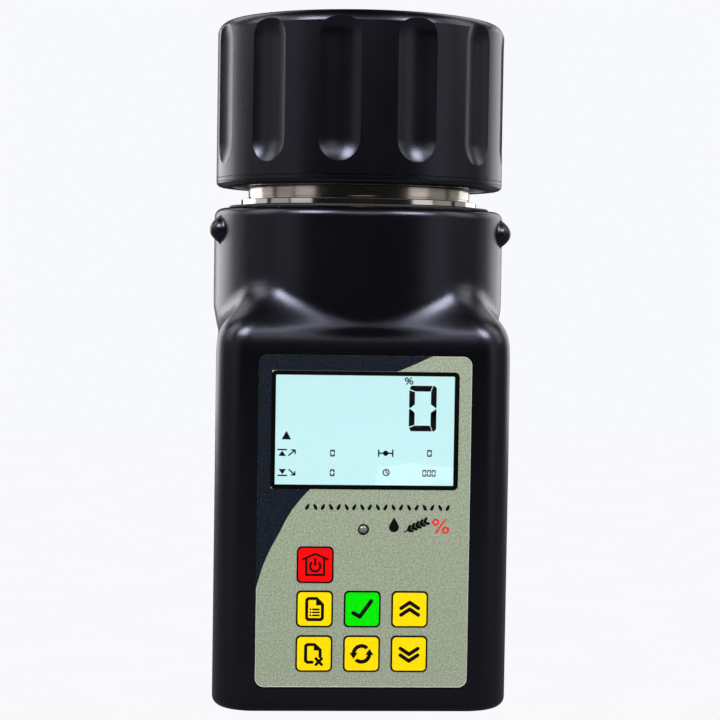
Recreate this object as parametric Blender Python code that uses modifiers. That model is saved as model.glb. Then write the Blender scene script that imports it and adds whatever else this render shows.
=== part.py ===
"""Handheld grain moisture meter with a fluted screw cap over its measuring chamber.

Metres, +Z up, origin at the centre of the base. The display side faces -Y.
The cap, the pressure plate and its spring share the vertical axis through the origin.
"""

import math

import bmesh
import bpy
from mathutils import Matrix, Vector

MM = 0.001

# ---- driving dimensions, in millimetres ----
HEIGHT = 205.0  # whole instrument, cap fitted
TUBE_R = 44.7  # round upper part of the housing
HALF_W = 43.5  # box part, half width
HALF_D = 45.6  # box part, half depth
CORNER_R = 11.0  # vertical edges of the box part
WALL = 2.5
HOUSING_TOP = 147.8
SHOULDER_Z = 111.2  # where the box part starts to round over
SHOULDER_SLOPE = 0.9  # inset per mm of height above that
FOOT_ROUND = 3.3
BUMP_AZ = 73.5  # side domes, degrees from the display side
BUMP_Z = 141.0

CAP_R = 44.3
CAP_LIP_Z = 154.3
CAP_FLUTES = 12
FLUTE_DEPTH = 1.9
FLUTE_HALF_DEG = 8.15

LABEL_HW, LABEL_Z0, LABEL_Z1, LABEL_R = 31.0, 7.4, 104.7, 2.6
WIN_HW, WIN_Z0, WIN_Z1 = 27.0, 65.9, 99.9
KEY = 10.3
KEY_COLS = (-13.9, 0.0, 13.9)
KEY_ROWS = (43.5, 30.6, 17.5)
LED_Z = 53.9

CUP_IN_R = 31.0
THREAD_R = 37.2
THREAD_PITCH = 4.0

PCB_FRONT = -37.5
PCB_BACK = -35.9


# ---- scene ----
for old in list(bpy.data.objects):
    bpy.data.objects.remove(old, do_unlink=True)

part_col = bpy.data.collections.new("grain_moisture_meter")
bpy.context.scene.collection.children.link(part_col)
cut_col = bpy.data.collections.new("cutters")
bpy.context.scene.collection.children.link(cut_col)


def material(name, rgb, rough, metallic=0.0, transmission=0.0):
    mat = bpy.data.materials.new(name)
    mat.use_nodes = True
    b = mat.node_tree.nodes["Principled BSDF"]
    b.inputs["Base Color"].default_value = (*rgb, 1.0)
    b.inputs["Roughness"].default_value = rough
    b.inputs["Metallic"].default_value = metallic
    b.inputs["Transmission Weight"].default_value = transmission
    return mat


M_BLACK = material("black_plastic", (0.02, 0.02, 0.022), 0.45)
M_DARK = material("dark_plastic", (0.04, 0.04, 0.045), 0.5)
M_LABEL = material("overlay_film", (0.3, 0.32, 0.26), 0.45)
M_RED = material("key_red", (0.5, 0.03, 0.03), 0.45)
M_YELLOW = material("key_yellow", (0.75, 0.45, 0.05), 0.45)
M_GREEN = material("key_green", (0.15, 0.5, 0.15), 0.45)
M_WINDOW = material("window_acrylic", (0.9, 0.95, 0.95), 0.05, 0.0, 0.9)
M_LCD = material("lcd_cyan", (0.3, 0.85, 0.9), 0.2)
M_PCB = material("pcb_green", (0.02, 0.18, 0.08), 0.4)
M_STEEL = material("steel", (0.6, 0.6, 0.6), 0.3, 1.0)
M_NICKEL = material("nickel_plate", (0.72, 0.7, 0.66), 0.2, 1.0)
M_BRASS = material("brass", (0.7, 0.5, 0.2), 0.3, 1.0)
M_RUBBER = material("rubber", (0.015, 0.015, 0.015), 0.8)
M_LED = material("led_lens", (0.5, 0.5, 0.48), 0.2)
M_WHITE = material("white_insulator", (0.85, 0.85, 0.82), 0.4)
M_BATT = material("battery_case", (0.08, 0.08, 0.1), 0.3)
M_REDWIRE = material("wire_red", (0.5, 0.02, 0.02), 0.5)


def put(obj, mat=None, cutter=False):
    (cut_col if cutter else part_col).objects.link(obj)
    if cutter:
        obj.hide_render = True
        obj.display_type = "WIRE"
    elif mat is not None:
        obj.data.materials.append(mat)
    return obj


def from_bmesh(name, bm, mat=None, cutter=False):
    mesh = bpy.data.meshes.new(name)
    bm.normal_update()
    bm.to_mesh(mesh)
    bm.free()
    return put(bpy.data.objects.new(name, mesh), mat, cutter)


# ---- shapes: all sizes in mm ----
def lathe(name, profile, mat=None, steps=32, closed=True, axis="Z", at=(0, 0, 0), cutter=False):
    """Turned shape. The profile is (radius, height) and runs down its outer side."""
    mesh = bpy.data.meshes.new(name)
    verts = [(r * MM, 0.0, z * MM) for r, z in profile]
    n = len(verts)
    edges = [(i, i + 1) for i in range(n - 1)]
    if closed:
        edges.append((n - 1, 0))
    mesh.from_pydata(verts, edges, [])
    obj = put(bpy.data.objects.new(name, mesh), mat, cutter)
    screw = obj.modifiers.new("turn", "SCREW")
    screw.angle = math.tau
    screw.steps = screw.render_steps = steps
    screw.axis = "Z"
    screw.use_merge_vertices = True
    screw.merge_threshold = 0.00002
    screw.use_smooth_shade = False
    obj.location = Vector(at) * MM
    if axis == "-Y":
        obj.rotation_euler = (math.pi / 2, 0, 0)
    elif axis == "Y":
        obj.rotation_euler = (-math.pi / 2, 0, 0)
    elif axis == "-Z":
        obj.rotation_euler = (math.pi, 0, 0)
    return obj


def rbox_into(bm, lo, hi, axis="Z", r=0.0, seg=3):
    """Box from lo to hi, with its four edges along one axis rounded."""
    c = [(a + b) / 2 * MM for a, b in zip(lo, hi)]
    s = [(b - a) * MM for a, b in zip(lo, hi)]
    new = bmesh.ops.create_cube(
        bm, size=1.0, matrix=Matrix.Translation(c) @ Matrix.Diagonal((*s, 1.0))
    )["verts"]
    if r <= 0:
        return
    k = "XYZ".index(axis)
    edges = {e for v in new for e in v.link_edges}
    along = [
        e
        for e in edges
        if all(abs(e.verts[0].co[j] - e.verts[1].co[j]) < 1e-7 for j in range(3) if j != k)
    ]
    along.sort(key=lambda e: tuple(round(v, 7) for v in (e.verts[0].co + e.verts[1].co)))
    bmesh.ops.bevel(
        bm, geom=along, offset=r * MM, segments=seg, profile=0.5, affect="EDGES", clamp_overlap=True
    )


def rbox(name, lo, hi, mat=None, axis="Z", r=0.0, seg=3, cutter=False, bevel=0.0):
    bm = bmesh.new()
    rbox_into(bm, lo, hi, axis, r, seg)
    obj = from_bmesh(name, bm, mat, cutter)
    if bevel:
        b = obj.modifiers.new("edge", "BEVEL")
        b.width = bevel * MM
        b.segments = 1
        b.limit_method = "ANGLE"
        b.angle_limit = math.radians(60)
    return obj


def cyl_into(bm, centre, r, length, axis="Z", seg=16):
    turn = {
        "Z": Matrix(),
        "Y": Matrix.Rotation(math.pi / 2, 4, "X"),
        "X": Matrix.Rotation(math.pi / 2, 4, "Y"),
    }[axis]
    bmesh.ops.create_cone(
        bm,
        cap_ends=True,
        segments=seg,
        radius1=r * MM,
        radius2=r * MM,
        depth=length * MM,
        matrix=Matrix.Translation(Vector(centre) * MM) @ turn,
    )


def boolean(obj, cutter, op="DIFFERENCE"):
    m = obj.modifiers.new(op.lower(), "BOOLEAN")
    m.operation = op
    m.solver = "EXACT"
    m.object = cutter


def rrect(hw, z0, z1, r, cx=0.0, n=4):
    """Rounded rectangle outline about x = cx, from z0 to z1."""
    pts = []
    for qx, qz, a0 in ((hw - r, z0 + r, -90), (hw - r, z1 - r, 0), (r - hw, z1 - r, 90), (r - hw, z0 + r, 180)):
        for i in range(n + 1):
            a = math.radians(a0 + 90 * i / n)
            pts.append((cx + qx + r * math.cos(a), qz + r * math.sin(a)))
    return pts


def circle(cx, cz, r, n=16):
    return [(cx + r * math.cos(math.tau * i / n), cz + r * math.sin(math.tau * i / n)) for i in range(n)]


def front_plate(name, outlines, y0, y1, mat):
    """Flat sheet parallel to the display side, from y0 (front) to y1, cut from its outlines."""
    cu = bpy.data.curves.new(name, "CURVE")
    cu.dimensions = "2D"
    cu.fill_mode = "BOTH"
    for pts in outlines:
        sp = cu.splines.new("POLY")
        sp.points.add(len(pts) - 1)
        for p, (x, z) in zip(sp.points, pts):
            p.co = (x * MM, z * MM, 0.0, 1.0)
        sp.use_cyclic_u = True
    cu.extrude = (y1 - y0) / 2 * MM
    obj = put(bpy.data.objects.new(name, cu), mat)
    obj.rotation_euler = (math.pi / 2, 0, 0)
    obj.location = (0, (y0 + y1) / 2 * MM, 0)
    return obj


def rod_curve(name, pts, r, mat, res=1):
    cu = bpy.data.curves.new(name, "CURVE")
    cu.dimensions = "3D"
    cu.bevel_depth = r * MM
    cu.bevel_resolution = res
    cu.use_fill_caps = True
    cu.twist_mode = "MINIMUM"
    sp = cu.splines.new("POLY")
    sp.points.add(len(pts) - 1)
    for p, q in zip(sp.points, pts):
        p.co = (q[0] * MM, q[1] * MM, q[2] * MM, 1.0)
    return put(bpy.data.objects.new(name, cu), mat)


def loft(name, rings, mat, ends=True):
    """Skin over rings of equal count. With ends it is capped, otherwise it closes on itself."""
    bm = bmesh.new()
    rows = [[bm.verts.new((x * MM, y * MM, z * MM)) for x, y, z in ring] for ring in rings]
    n = len(rows[0])
    pairs = list(zip(rows, rows[1:]))
    if not ends:
        pairs.append((rows[-1], rows[0]))
    for low, high in pairs:
        for i in range(n):
            j = (i + 1) % n
            bm.faces.new((low[i], low[j], high[j], high[i]))
    if ends:
        bm.faces.new(list(reversed(rows[0])))
        bm.faces.new(rows[-1])
    bmesh.ops.recalc_face_normals(bm, faces=bm.faces)
    return from_bmesh(name, bm, mat)


# ---- main housing: a round tube that becomes a box ----
def smooth_max(a, b, k):
    h = max(k - abs(a - b), 0.0) / k
    return max(a, b) + h * h * k / 4


def box_radius(ang, a, b, r):
    """Distance from the axis to a rounded rectangle of half sizes a and b, along one direction."""
    c, s = abs(math.cos(ang)), abs(math.sin(ang))
    r = min(r, a, b)
    if c * b <= s * (a - r) + 1e-12:
        return b / s
    if s * a <= c * (b - r) + 1e-12:
        return a / c
    px, py = a - r, b - r
    dot = c * px + s * py
    return dot + math.sqrt(max(dot * dot - (px * px + py * py - r * r), 0.0))


def shoulder_inset(z):
    w = 1.3
    t = (z - SHOULDER_Z) / w
    soft = t if t > 30 else math.log1p(math.exp(t))
    return SHOULDER_SLOPE * w * soft


def step(t):
    t = min(max(t, 0.0), 1.0)
    return t * t * (3 - 2 * t)


def tube_radius(ang, z):
    """The tube sinks into the box below the shoulder, and its flanks draw in to the box's width."""
    flank = 1.2 * math.cos(ang) ** 4 * (1 - step((z - 110.0) / 9.0))
    return 39.5 + (TUBE_R - 39.5) * step((z - 105.0) / 8.0) - flank


def housing_radius(ang, z, shrink=0.0):
    inset = shoulder_inset(z) + shrink
    a, b = HALF_W - inset, HALF_D - inset
    if min(a, b) < 22:
        return TUBE_R - shrink
    box = box_radius(ang, a, b, max(CORNER_R - 0.5 * shrink, 6.0))
    return smooth_max(box, tube_radius(ang, z) - shrink, 1.4 + 4.4 * math.sin(2 * ang) ** 2)


quadrant = (0.0, 12.0, 24.0, 33.0, 38.7, 42.7, 46.7, 50.7, 54.7, 62.0, 71.0, 80.5)
angles = []
for k in range(4):
    base = [q for q in quadrant] if k % 2 == 0 else [0.0] + sorted(90 - q for q in quadrant[1:])
    angles += [math.radians(90 * k + q) for q in base]

rows = []
for t in (90, 60, 30, 0):
    a = math.radians(t)
    rows.append((FOOT_ROUND * (1 - math.sin(a)), FOOT_ROUND * (1 - math.cos(a))))
rings = []
for z, shrink in rows:
    rings.append([(housing_radius(a, z, shrink) * math.cos(a), housing_radius(a, z, shrink) * math.sin(a), z) for a in angles])
for z in (104.0, 107.5, 109.5, 110.7, 111.7, 112.7, 114.0, 115.5, 117.5, 120.0, 123.0, 127.0):
    rings.append([(housing_radius(a, z) * math.cos(a), housing_radius(a, z) * math.sin(a), z) for a in angles])
for z, shrink in ((144.8, 0.0), (146.2, 0.4), (147.4, 1.6), (HOUSING_TOP, 3.0)):
    rings.append([((TUBE_R - shrink) * math.cos(a), (TUBE_R - shrink) * math.sin(a), z) for a in angles])
housing = loft("main_housing", rings, M_BLACK)

bm = bmesh.new()
for side in (-1, 1):
    az = math.radians(BUMP_AZ) * side
    d = TUBE_R + 3.2 - 5.2
    bmesh.ops.create_uvsphere(
        bm,
        u_segments=16,
        v_segments=10,
        radius=5.2 * MM,
        matrix=Matrix.Translation((d * math.sin(az) * MM, -d * math.cos(az) * MM, BUMP_Z * MM)),
    )
boolean(housing, from_bmesh("cut_domes", bm, cutter=True), "UNION")

IN_W, IN_D = HALF_W - WALL, HALF_D - WALL
# Screw posts grow from the corners and from the front wall, so the cavity leaves them standing.
BASE_SCREWS = [(sx * 32.6, sy * 34.6) for sx in (-1, 1) for sy in (-1, 1)]
PCB_SCREWS = [(sx * 34.2, z) for sx in (-1, 1) for z in (21.0, 97.5)]
bm = bmesh.new()
for x, y in BASE_SCREWS:
    sx, sy = math.copysign(1, x), math.copysign(1, y)
    xs, ys = sorted((sx * 28.0, sx * 44.0)), sorted((sy * 30.0, sy * 46.0))
    rbox_into(bm, (xs[0], ys[0], 3.0), (xs[1], ys[1], 11.5))
for x, z in PCB_SCREWS:
    cyl_into(bm, (x, (-44.5 - 37.7) / 2, z), 2.8, 44.5 - 37.7, axis="Y", seg=12)
posts = from_bmesh("cut_posts", bm, cutter=True)
cavity = rbox("cut_cavity_box", (-IN_W, -IN_D, 3.2), (IN_W, IN_D, 104.5), r=8.5, seg=4, cutter=True)
boolean(cavity, posts)
boolean(housing, cavity)
bm = bmesh.new()
cyl_into(bm, (0, 0, (104.0 + 143.8) / 2), TUBE_R - WALL - 2.4, 143.8 - 104.0, seg=48)
boolean(housing, from_bmesh("cut_cavity_tube", bm, cutter=True))

bm = bmesh.new()
cyl_into(bm, (0, 0, 145.8), 33.4, 8.0, seg=48)
rbox_into(bm, (-38.2, -40.5, -1.0), (38.2, 40.5, 3.3), "Z", 7.5, 4)
rbox_into(bm, (-LABEL_HW - 0.15, -47.0, LABEL_Z0 - 0.15), (LABEL_HW + 0.15, -44.95, LABEL_Z1 + 0.15), "Y", LABEL_R, 4)
rbox_into(bm, (-15.7, 41.0, 11.65), (15.7, 47.0, 66.6), "Y", 1.5, 2)
boolean(housing, from_bmesh("cut_openings", bm, cutter=True))

bm = bmesh.new()
rbox_into(bm, (-WIN_HW - 0.2, -45.5, WIN_Z0 - 0.2), (WIN_HW + 0.2, -42.0, WIN_Z1 + 0.2), "Y", 1.2, 2)
KEYS = [
    ("power", KEY_COLS[0], KEY_ROWS[0], M_RED),
    ("store", KEY_COLS[0], KEY_ROWS[1], M_YELLOW),
    ("ok", KEY_COLS[1], KEY_ROWS[1], M_GREEN),
    ("up", KEY_COLS[2], KEY_ROWS[1], M_YELLOW),
    ("delete", KEY_COLS[0], KEY_ROWS[2], M_YELLOW),
    ("repeat", KEY_COLS[1], KEY_ROWS[2], M_YELLOW),
    ("down", KEY_COLS[2], KEY_ROWS[2], M_YELLOW),
]
GAP = 0.35
for _, x, z, _ in KEYS:
    h = KEY / 2 + GAP
    rbox_into(bm, (x - h, -45.5, z - h), (x + h, -42.0, z + h), "Y", 1.5, 2)
cyl_into(bm, (0, -43.75, LED_Z), 1.8, 3.6, axis="Y", seg=16)
boolean(housing, from_bmesh("cut_front_holes", bm, cutter=True))

bm = bmesh.new()
for x, y in BASE_SCREWS:
    cyl_into(bm, (x, y, 6.4), 1.25, 8.6, seg=10)
for x, z in PCB_SCREWS:
    cyl_into(bm, (x, -39.2, z), 0.95, 6.0, axis="Y", seg=10)
for side in (-1, 1):
    cyl_into(bm, (side * 16.2, 44.6, 13.2), 0.72, 2.0, axis="X", seg=10)
boolean(housing, from_bmesh("cut_pilot_holes", bm, cutter=True))

# ---- base cover and its screws ----
cover = rbox("base_cover", (-37.9, -40.2, 0.0), (37.9, 40.2, 2.9), M_BLACK, r=7.3, seg=4)
bm = bmesh.new()
for x, y in BASE_SCREWS:
    cyl_into(bm, (x, y, 1.5), 1.75, 8.0, seg=12)
boolean(cover, from_bmesh("cut_cover_holes", bm, cutter=True))
bm = bmesh.new()
for x, y in BASE_SCREWS:
    cyl_into(bm, (x, y, 0.0), 3.3, 3.0, seg=16)
boolean(cover, from_bmesh("cut_cover_sinks", bm, cutter=True))
for i, (x, y) in enumerate(BASE_SCREWS):
    # Pan head below, plain shank up into the post.
    lathe(
        f"base_screw_{i + 1}",
        [(0, 10.2), (0.8, 10.2), (1.15, 9.6), (1.15, 1.42), (2.6, 1.42), (2.9, 1.05), (2.9, 0.5), (2.4, 0.15), (0, 0.15)],
        M_STEEL,
        steps=12,
        closed=False,
        at=(x, y, 0),
    )

# ---- front overlay, window and display ----
outlines = [rrect(LABEL_HW, LABEL_Z0, LABEL_Z1, LABEL_R, n=4)]
outlines.append(rrect(WIN_HW + 0.12, WIN_Z0 - 0.12, WIN_Z1 + 0.12, 1.1, n=3))
for _, x, z, _ in KEYS:
    h = KEY / 2 + GAP
    outlines.append(rrect(h, z - h, z + h, 1.5, cx=x, n=3))
outlines.append(circle(0, LED_Z, 1.75, 16))
front_plate("graphic_overlay", outlines, -45.3, -45.0, M_LABEL)

rbox("display_window", (-WIN_HW, -45.3, WIN_Z0), (WIN_HW, -43.9, WIN_Z1), M_WINDOW, axis="Y", r=1.0, seg=2)
rbox("lcd_panel", (-28.0, -42.9, 64.6), (28.0, -41.1, 101.2), M_LCD)
frame_obj = rbox("lcd_frame", (-31.0, -42.9, 62.0), (31.0, -38.2, 103.3), M_WHITE)
boolean(frame_obj, rbox("cut_frame", (-28.3, -44.0, 64.3), (28.3, -37.0, 101.5), cutter=True))
rbox("backlight", (-27.6, -40.9, 65.0), (27.6, -38.4, 100.8), M_WHITE)

pcb = rbox("main_pcb", (-37.2, PCB_FRONT, 12.2), (37.2, PCB_BACK, 102.5), M_PCB, axis="Y", r=2.0, seg=2)
bm = bmesh.new()
for x, z in PCB_SCREWS:
    cyl_into(bm, (x, -36.7, z), 1.25, 4.0, axis="Y", seg=12)
boolean(pcb, from_bmesh("cut_pcb_holes", bm, cutter=True))
for i, (x, z) in enumerate(PCB_SCREWS):
    lathe(
        f"pcb_screw_{i + 1}",
        [(0, 6.0), (0.5, 6.0), (0.85, 5.4), (0.85, 0.0), (2.0, 0.0), (2.2, -0.6), (1.6, -1.3), (0, -1.3)],
        M_STEEL,
        steps=12,
        closed=False,
        axis="-Y",
        at=(x, PCB_BACK + 0.08, z),
    )

# ---- keys: square pad in front, round-cornered stem behind, over a snap dome ----
for name, x, z, mat in KEYS:
    bm = bmesh.new()
    h = KEY / 2
    rbox_into(bm, (x - h, -45.55, z - h), (x + h, -43.6, z + h), "Y", 1.3, 2)
    back = max(bm.faces, key=lambda f: (f.calc_center_median().y, f.calc_area()))
    bmesh.ops.inset_individual(bm, faces=[back], thickness=3.3 * MM)
    stem = bmesh.ops.extrude_discrete_faces(bm, faces=[back])["faces"][0]
    bmesh.ops.translate(bm, verts=list(stem.verts), vec=(0, (43.6 - 38.9) * MM, 0))
    from_bmesh(f"key_{name}", bm, mat)
    lathe(
        f"dome_{name}",
        [(0, 0.72), (1.2, 0.66), (2.4, 0.36), (3.0, 0.0), (0, 0.0)],
        M_STEEL,
        steps=12,
        closed=False,
        axis="-Y",
        at=(x, PCB_FRONT - 0.06, z),
    )

lathe(
    "status_led",
    [(0, 7.75), (0.8, 7.6), (1.3, 7.1), (1.5, 6.4), (1.5, 1.4), (1.7, 1.3), (1.7, 0.0), (0, 0.0)],
    M_LED,
    steps=16,
    closed=False,
    axis="-Y",
    at=(0, PCB_FRONT - 0.06, LED_Z),
)

# ---- measuring chamber ----
lathe(
    "chamber_cup",
    [
        (CUP_IN_R, 169.4),
        (CUP_IN_R + 0.6, 170.0),
        (THREAD_R - 1.0, 170.0),
        (THREAD_R, 169.0),
        (THREAD_R, 154.7),
        (34.3, 154.4),
        (34.3, 150.5),
        (36.3, 150.5),
        (36.5, 150.3),
        (36.5, 148.85),
        (33.0, 148.85),
        (33.0, 108.0),
        (8.7, 108.0),
        (8.7, 112.0),
        (CUP_IN_R, 112.0),
    ],
    M_NICKEL,
    steps=36,
)
lathe("neck_gasket", [(34.0, 148.65), (39.9, 148.65), (40.2, 148.4), (40.2, 148.1), (40.0, 147.87), (34.0, 147.87)], M_RUBBER, steps=36)
lathe("chamber_lock_nut", [(33.2, 143.6), (38.6, 143.6), (38.6, 139.6), (33.2, 139.6)], M_BRASS, steps=36)
lathe(
    "insulator_base",
    [(3.3, 114.5), (30.6, 114.5), (30.8, 114.2), (30.8, 112.15), (8.4, 112.15), (8.4, 106.6), (3.3, 106.6)],
    M_WHITE,
    steps=24,
)
lathe(
    "centre_electrode",
    [(0, 125.5), (3.0, 125.1), (5.4, 123.8), (7.0, 121.6), (8.0, 118.0), (8.0, 114.7), (3.1, 114.7), (3.1, 98.5), (2.7, 98.0), (0, 98.0)],
    M_NICKEL,
    steps=16,
    closed=False,
)
lathe("electrode_nut", [(3.75, 106.3), (6.2, 106.3), (6.6, 106.0), (6.6, 103.2), (6.2, 102.9), (3.75, 102.9)], M_BRASS, steps=6)
lathe(
    "temperature_probe",
    [(0, 119.5), (0.7, 119.3), (1.2, 118.6), (1.2, 115.4), (2.0, 115.2), (2.0, 114.6), (0, 114.6)],
    M_STEEL,
    steps=12,
    closed=False,
    at=(0, 21.0, 0),
)
lathe("sensor_pcb", [(3.4, 102.6), (28.5, 102.6), (28.5, 101.0), (3.4, 101.0)], M_PCB, steps=24)

# ---- cap ----
period = 360.0 / CAP_FLUTES
step_deg = (-FLUTE_HALF_DEG, -4.4, 0.0, 4.4, FLUTE_HALF_DEG, period / 2)
CAP_PHASE = -101.35  # a flute centre, seen from above, from +X
cap_angles = [(math.radians(CAP_PHASE + period * k + s), s) for k in range(CAP_FLUTES) for s in step_deg]
outer = [
    (10.2, 205.0, 0),
    (40.6, 205.0, 0),
    (42.5, 204.2, 0.0),
    (43.7, 203.1, 0.1),
    (CAP_R, 201.7, 0.4),
    (CAP_R, 197.6, 1.0),
    (CAP_R, 167.0, 1.0),
    (CAP_R, 163.6, 0.7),
    (CAP_R, 161.4, 0.0),
    (CAP_R, 157.0, 0.0),
    (43.7, 155.2, 0.0),
    (42.5, CAP_LIP_Z, 0.0),
    (39.2, CAP_LIP_Z, 0.0),
    (39.2, 156.2, 0.0),
    (41.2, 156.2, 0.0),
    (41.2, 172.8, 0.0),
    (38.6, 172.8, 0.0),
    (38.6, 200.0, 0.0),
    (13.0, 200.0, 0.0),
    (13.0, 186.0, 0.0),
    (3.5, 186.0, 0.0),
    (3.5, 190.0, 0.0),
    (10.2, 190.0, 0.0),
]
rings = []
for r, z, depth in reversed(outer):
    ring = []
    for ang, s in cap_angles:
        d = FLUTE_DEPTH * depth * max(0.0, 1 - (s / FLUTE_HALF_DEG) ** 2)
        ring.append(((r - d) * math.cos(ang), (r - d) * math.sin(ang), z))
    rings.append(ring)
loft("cap_shell", rings, M_BLACK, ends=False)
lathe("cap_thread_ring", [(37.8, 172.6), (40.9, 172.6), (40.9, 156.5), (37.8, 156.5)], M_DARK, steps=36)
lathe("indicator_bezel", [(6.2, 204.7), (9.3, 204.7), (9.9, 204.3), (9.9, 203.0), (6.2, 203.0)], M_NICKEL, steps=24)

# ---- pressure unit ----
lathe("spring_seat", [(13.7, 199.6), (19.6, 199.6), (20.0, 199.2), (20.0, 197.7), (13.7, 197.7)], M_STEEL, steps=24)
lathe(
    "pressure_plate",
    [(0, 157.9), (5.5, 157.9), (6.0, 157.4), (6.0, 152.4), (29.9, 152.4), (30.4, 151.9), (30.4, 148.6), (29.8, 148.0), (0, 148.0)],
    M_NICKEL,
    steps=24,
    closed=False,
)
lathe("indicator_pin", [(0, 199.8), (2.6, 199.8), (3.0, 199.4), (3.0, 158.1), (0, 158.1)], M_STEEL, steps=16, closed=False)
lathe("pin_nut", [(3.6, 197.8), (5.6, 197.8), (5.9, 197.5), (5.9, 194.9), (5.6, 194.6), (3.6, 194.6)], M_BRASS, steps=6)
SPRING_R, WIRE_R, SPRING_TURNS = 16.8, 1.1, 6
z0, z1 = 152.4 + WIRE_R + 0.15, 197.7 - WIRE_R - 0.15
pts = []
n = 12 * SPRING_TURNS
for i in range(n + 1):
    t = i / n
    # Closed end turns, open turns between.
    u = t * SPRING_TURNS
    if u < 1:
        rise = 0.04 * u * 1.6
    elif u > SPRING_TURNS - 1:
        rise = 1 - 0.064 * (SPRING_TURNS - u)
    else:
        rise = 0.064 + (1 - 0.128) * (u - 1) / (SPRING_TURNS - 2)
    a = math.tau * u
    pts.append((SPRING_R * math.cos(a), SPRING_R * math.sin(a), z0 + (z1 - z0) * rise))
rod_curve("pressure_spring", pts, WIRE_R, M_STEEL, res=1)

# ---- battery compartment ----
tray = rbox("battery_tray", (-17.4, 22.0, 10.4), (17.4, 43.0, 68.4), M_DARK)
boolean(tray, rbox("cut_tray", (-16.1, 23.3, 11.7), (16.1, 45.0, 67.1), cutter=True))
door = rbox("battery_door", (-15.35, 43.35, 12.5), (15.35, 45.6, 66.3), M_BLACK, axis="Y", r=1.3, seg=2)
bm = bmesh.new()
cyl_into(bm, (0, 44.6, 13.2), 0.6, 32.4, axis="X", seg=10)
boolean(door, from_bmesh("cut_pivot", bm, cutter=True), "UNION")
rbox("battery", (-13.2, 24.2, 12.4), (13.2, 41.2, 58.4), M_BATT, axis="Z", r=1.6, seg=2)
rbox("battery_snap", (-12.6, 26.2, 58.8), (12.6, 39.2, 62.6), M_BLACK, axis="Z", r=1.2, seg=2)
for name, x, mat in (("battery_lead_red", 4.0, M_REDWIRE), ("battery_lead_black", -4.0, M_BLACK)):
    rod_curve(
        name,
        [(x, 32.0, 62.9), (x, 31.6, 64.6), (x, 31.0, 66.2)],
        0.75,
        mat,
        res=1,
    )
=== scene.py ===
import math

import bmesh
import bpy
import numpy as np
from mathutils import Matrix, Vector


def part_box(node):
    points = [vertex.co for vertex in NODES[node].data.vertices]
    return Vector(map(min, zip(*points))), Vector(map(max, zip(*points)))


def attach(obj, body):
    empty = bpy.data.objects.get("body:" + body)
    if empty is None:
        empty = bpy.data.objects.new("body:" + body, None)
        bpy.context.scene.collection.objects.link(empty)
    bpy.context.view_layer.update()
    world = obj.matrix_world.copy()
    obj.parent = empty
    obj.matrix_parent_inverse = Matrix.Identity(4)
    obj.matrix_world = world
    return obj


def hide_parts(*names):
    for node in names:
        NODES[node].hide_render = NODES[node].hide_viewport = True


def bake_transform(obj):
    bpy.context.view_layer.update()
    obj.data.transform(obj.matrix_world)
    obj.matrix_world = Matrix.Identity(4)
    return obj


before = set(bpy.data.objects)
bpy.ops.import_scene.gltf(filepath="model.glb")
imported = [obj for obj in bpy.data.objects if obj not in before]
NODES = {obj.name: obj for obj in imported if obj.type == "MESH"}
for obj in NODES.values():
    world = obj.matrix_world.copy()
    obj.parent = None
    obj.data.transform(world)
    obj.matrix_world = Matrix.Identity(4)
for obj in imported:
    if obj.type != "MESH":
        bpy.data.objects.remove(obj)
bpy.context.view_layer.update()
MM = 0.001
TAU = math.tau


# ------------------------------------------------------------------ materials
def nodes_of(name):
    m = bpy.data.materials.new(name)
    m.use_nodes = True
    nt = m.node_tree
    b = nt.nodes["Principled BSDF"]
    co = nt.nodes.new("ShaderNodeTexCoord")
    return m, nt, b, co


def noise(nt, co, scale, detail=3.0, rough=0.55, stretch=None):
    n = nt.nodes.new("ShaderNodeTexNoise")
    n.inputs["Scale"].default_value = scale
    n.inputs["Detail"].default_value = detail
    n.inputs["Roughness"].default_value = rough
    src = co.outputs["Object"]
    if stretch:
        mp = nt.nodes.new("ShaderNodeMapping")
        mp.inputs["Scale"].default_value = stretch
        nt.links.new(src, mp.inputs["Vector"])
        src = mp.outputs["Vector"]
    nt.links.new(src, n.inputs["Vector"])
    return n


def ramp(nt, src, stops, kind="LINEAR"):
    r = nt.nodes.new("ShaderNodeValToRGB")
    r.color_ramp.interpolation = kind
    e = r.color_ramp.elements
    while len(e) < len(stops):
        e.new(0.5)
    for el, (p, c) in zip(e, stops):
        el.position = p
        el.color = (*c, 1.0)
    nt.links.new(src, r.inputs["Fac"])
    return r


def to_range(nt, src, lo, hi, a=0.3, b=0.7):
    r = nt.nodes.new("ShaderNodeMapRange")
    r.inputs["From Min"].default_value = a
    r.inputs["From Max"].default_value = b
    r.inputs["To Min"].default_value = lo
    r.inputs["To Max"].default_value = hi
    nt.links.new(src, r.inputs["Value"])
    return r


def bump(nt, b, src, strength, dist):
    n = nt.nodes.new("ShaderNodeBump")
    n.inputs["Strength"].default_value = strength
    n.inputs["Distance"].default_value = dist
    nt.links.new(src, n.inputs["Height"])
    nt.links.new(n.outputs["Normal"], b.inputs["Normal"])
    return n


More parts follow.
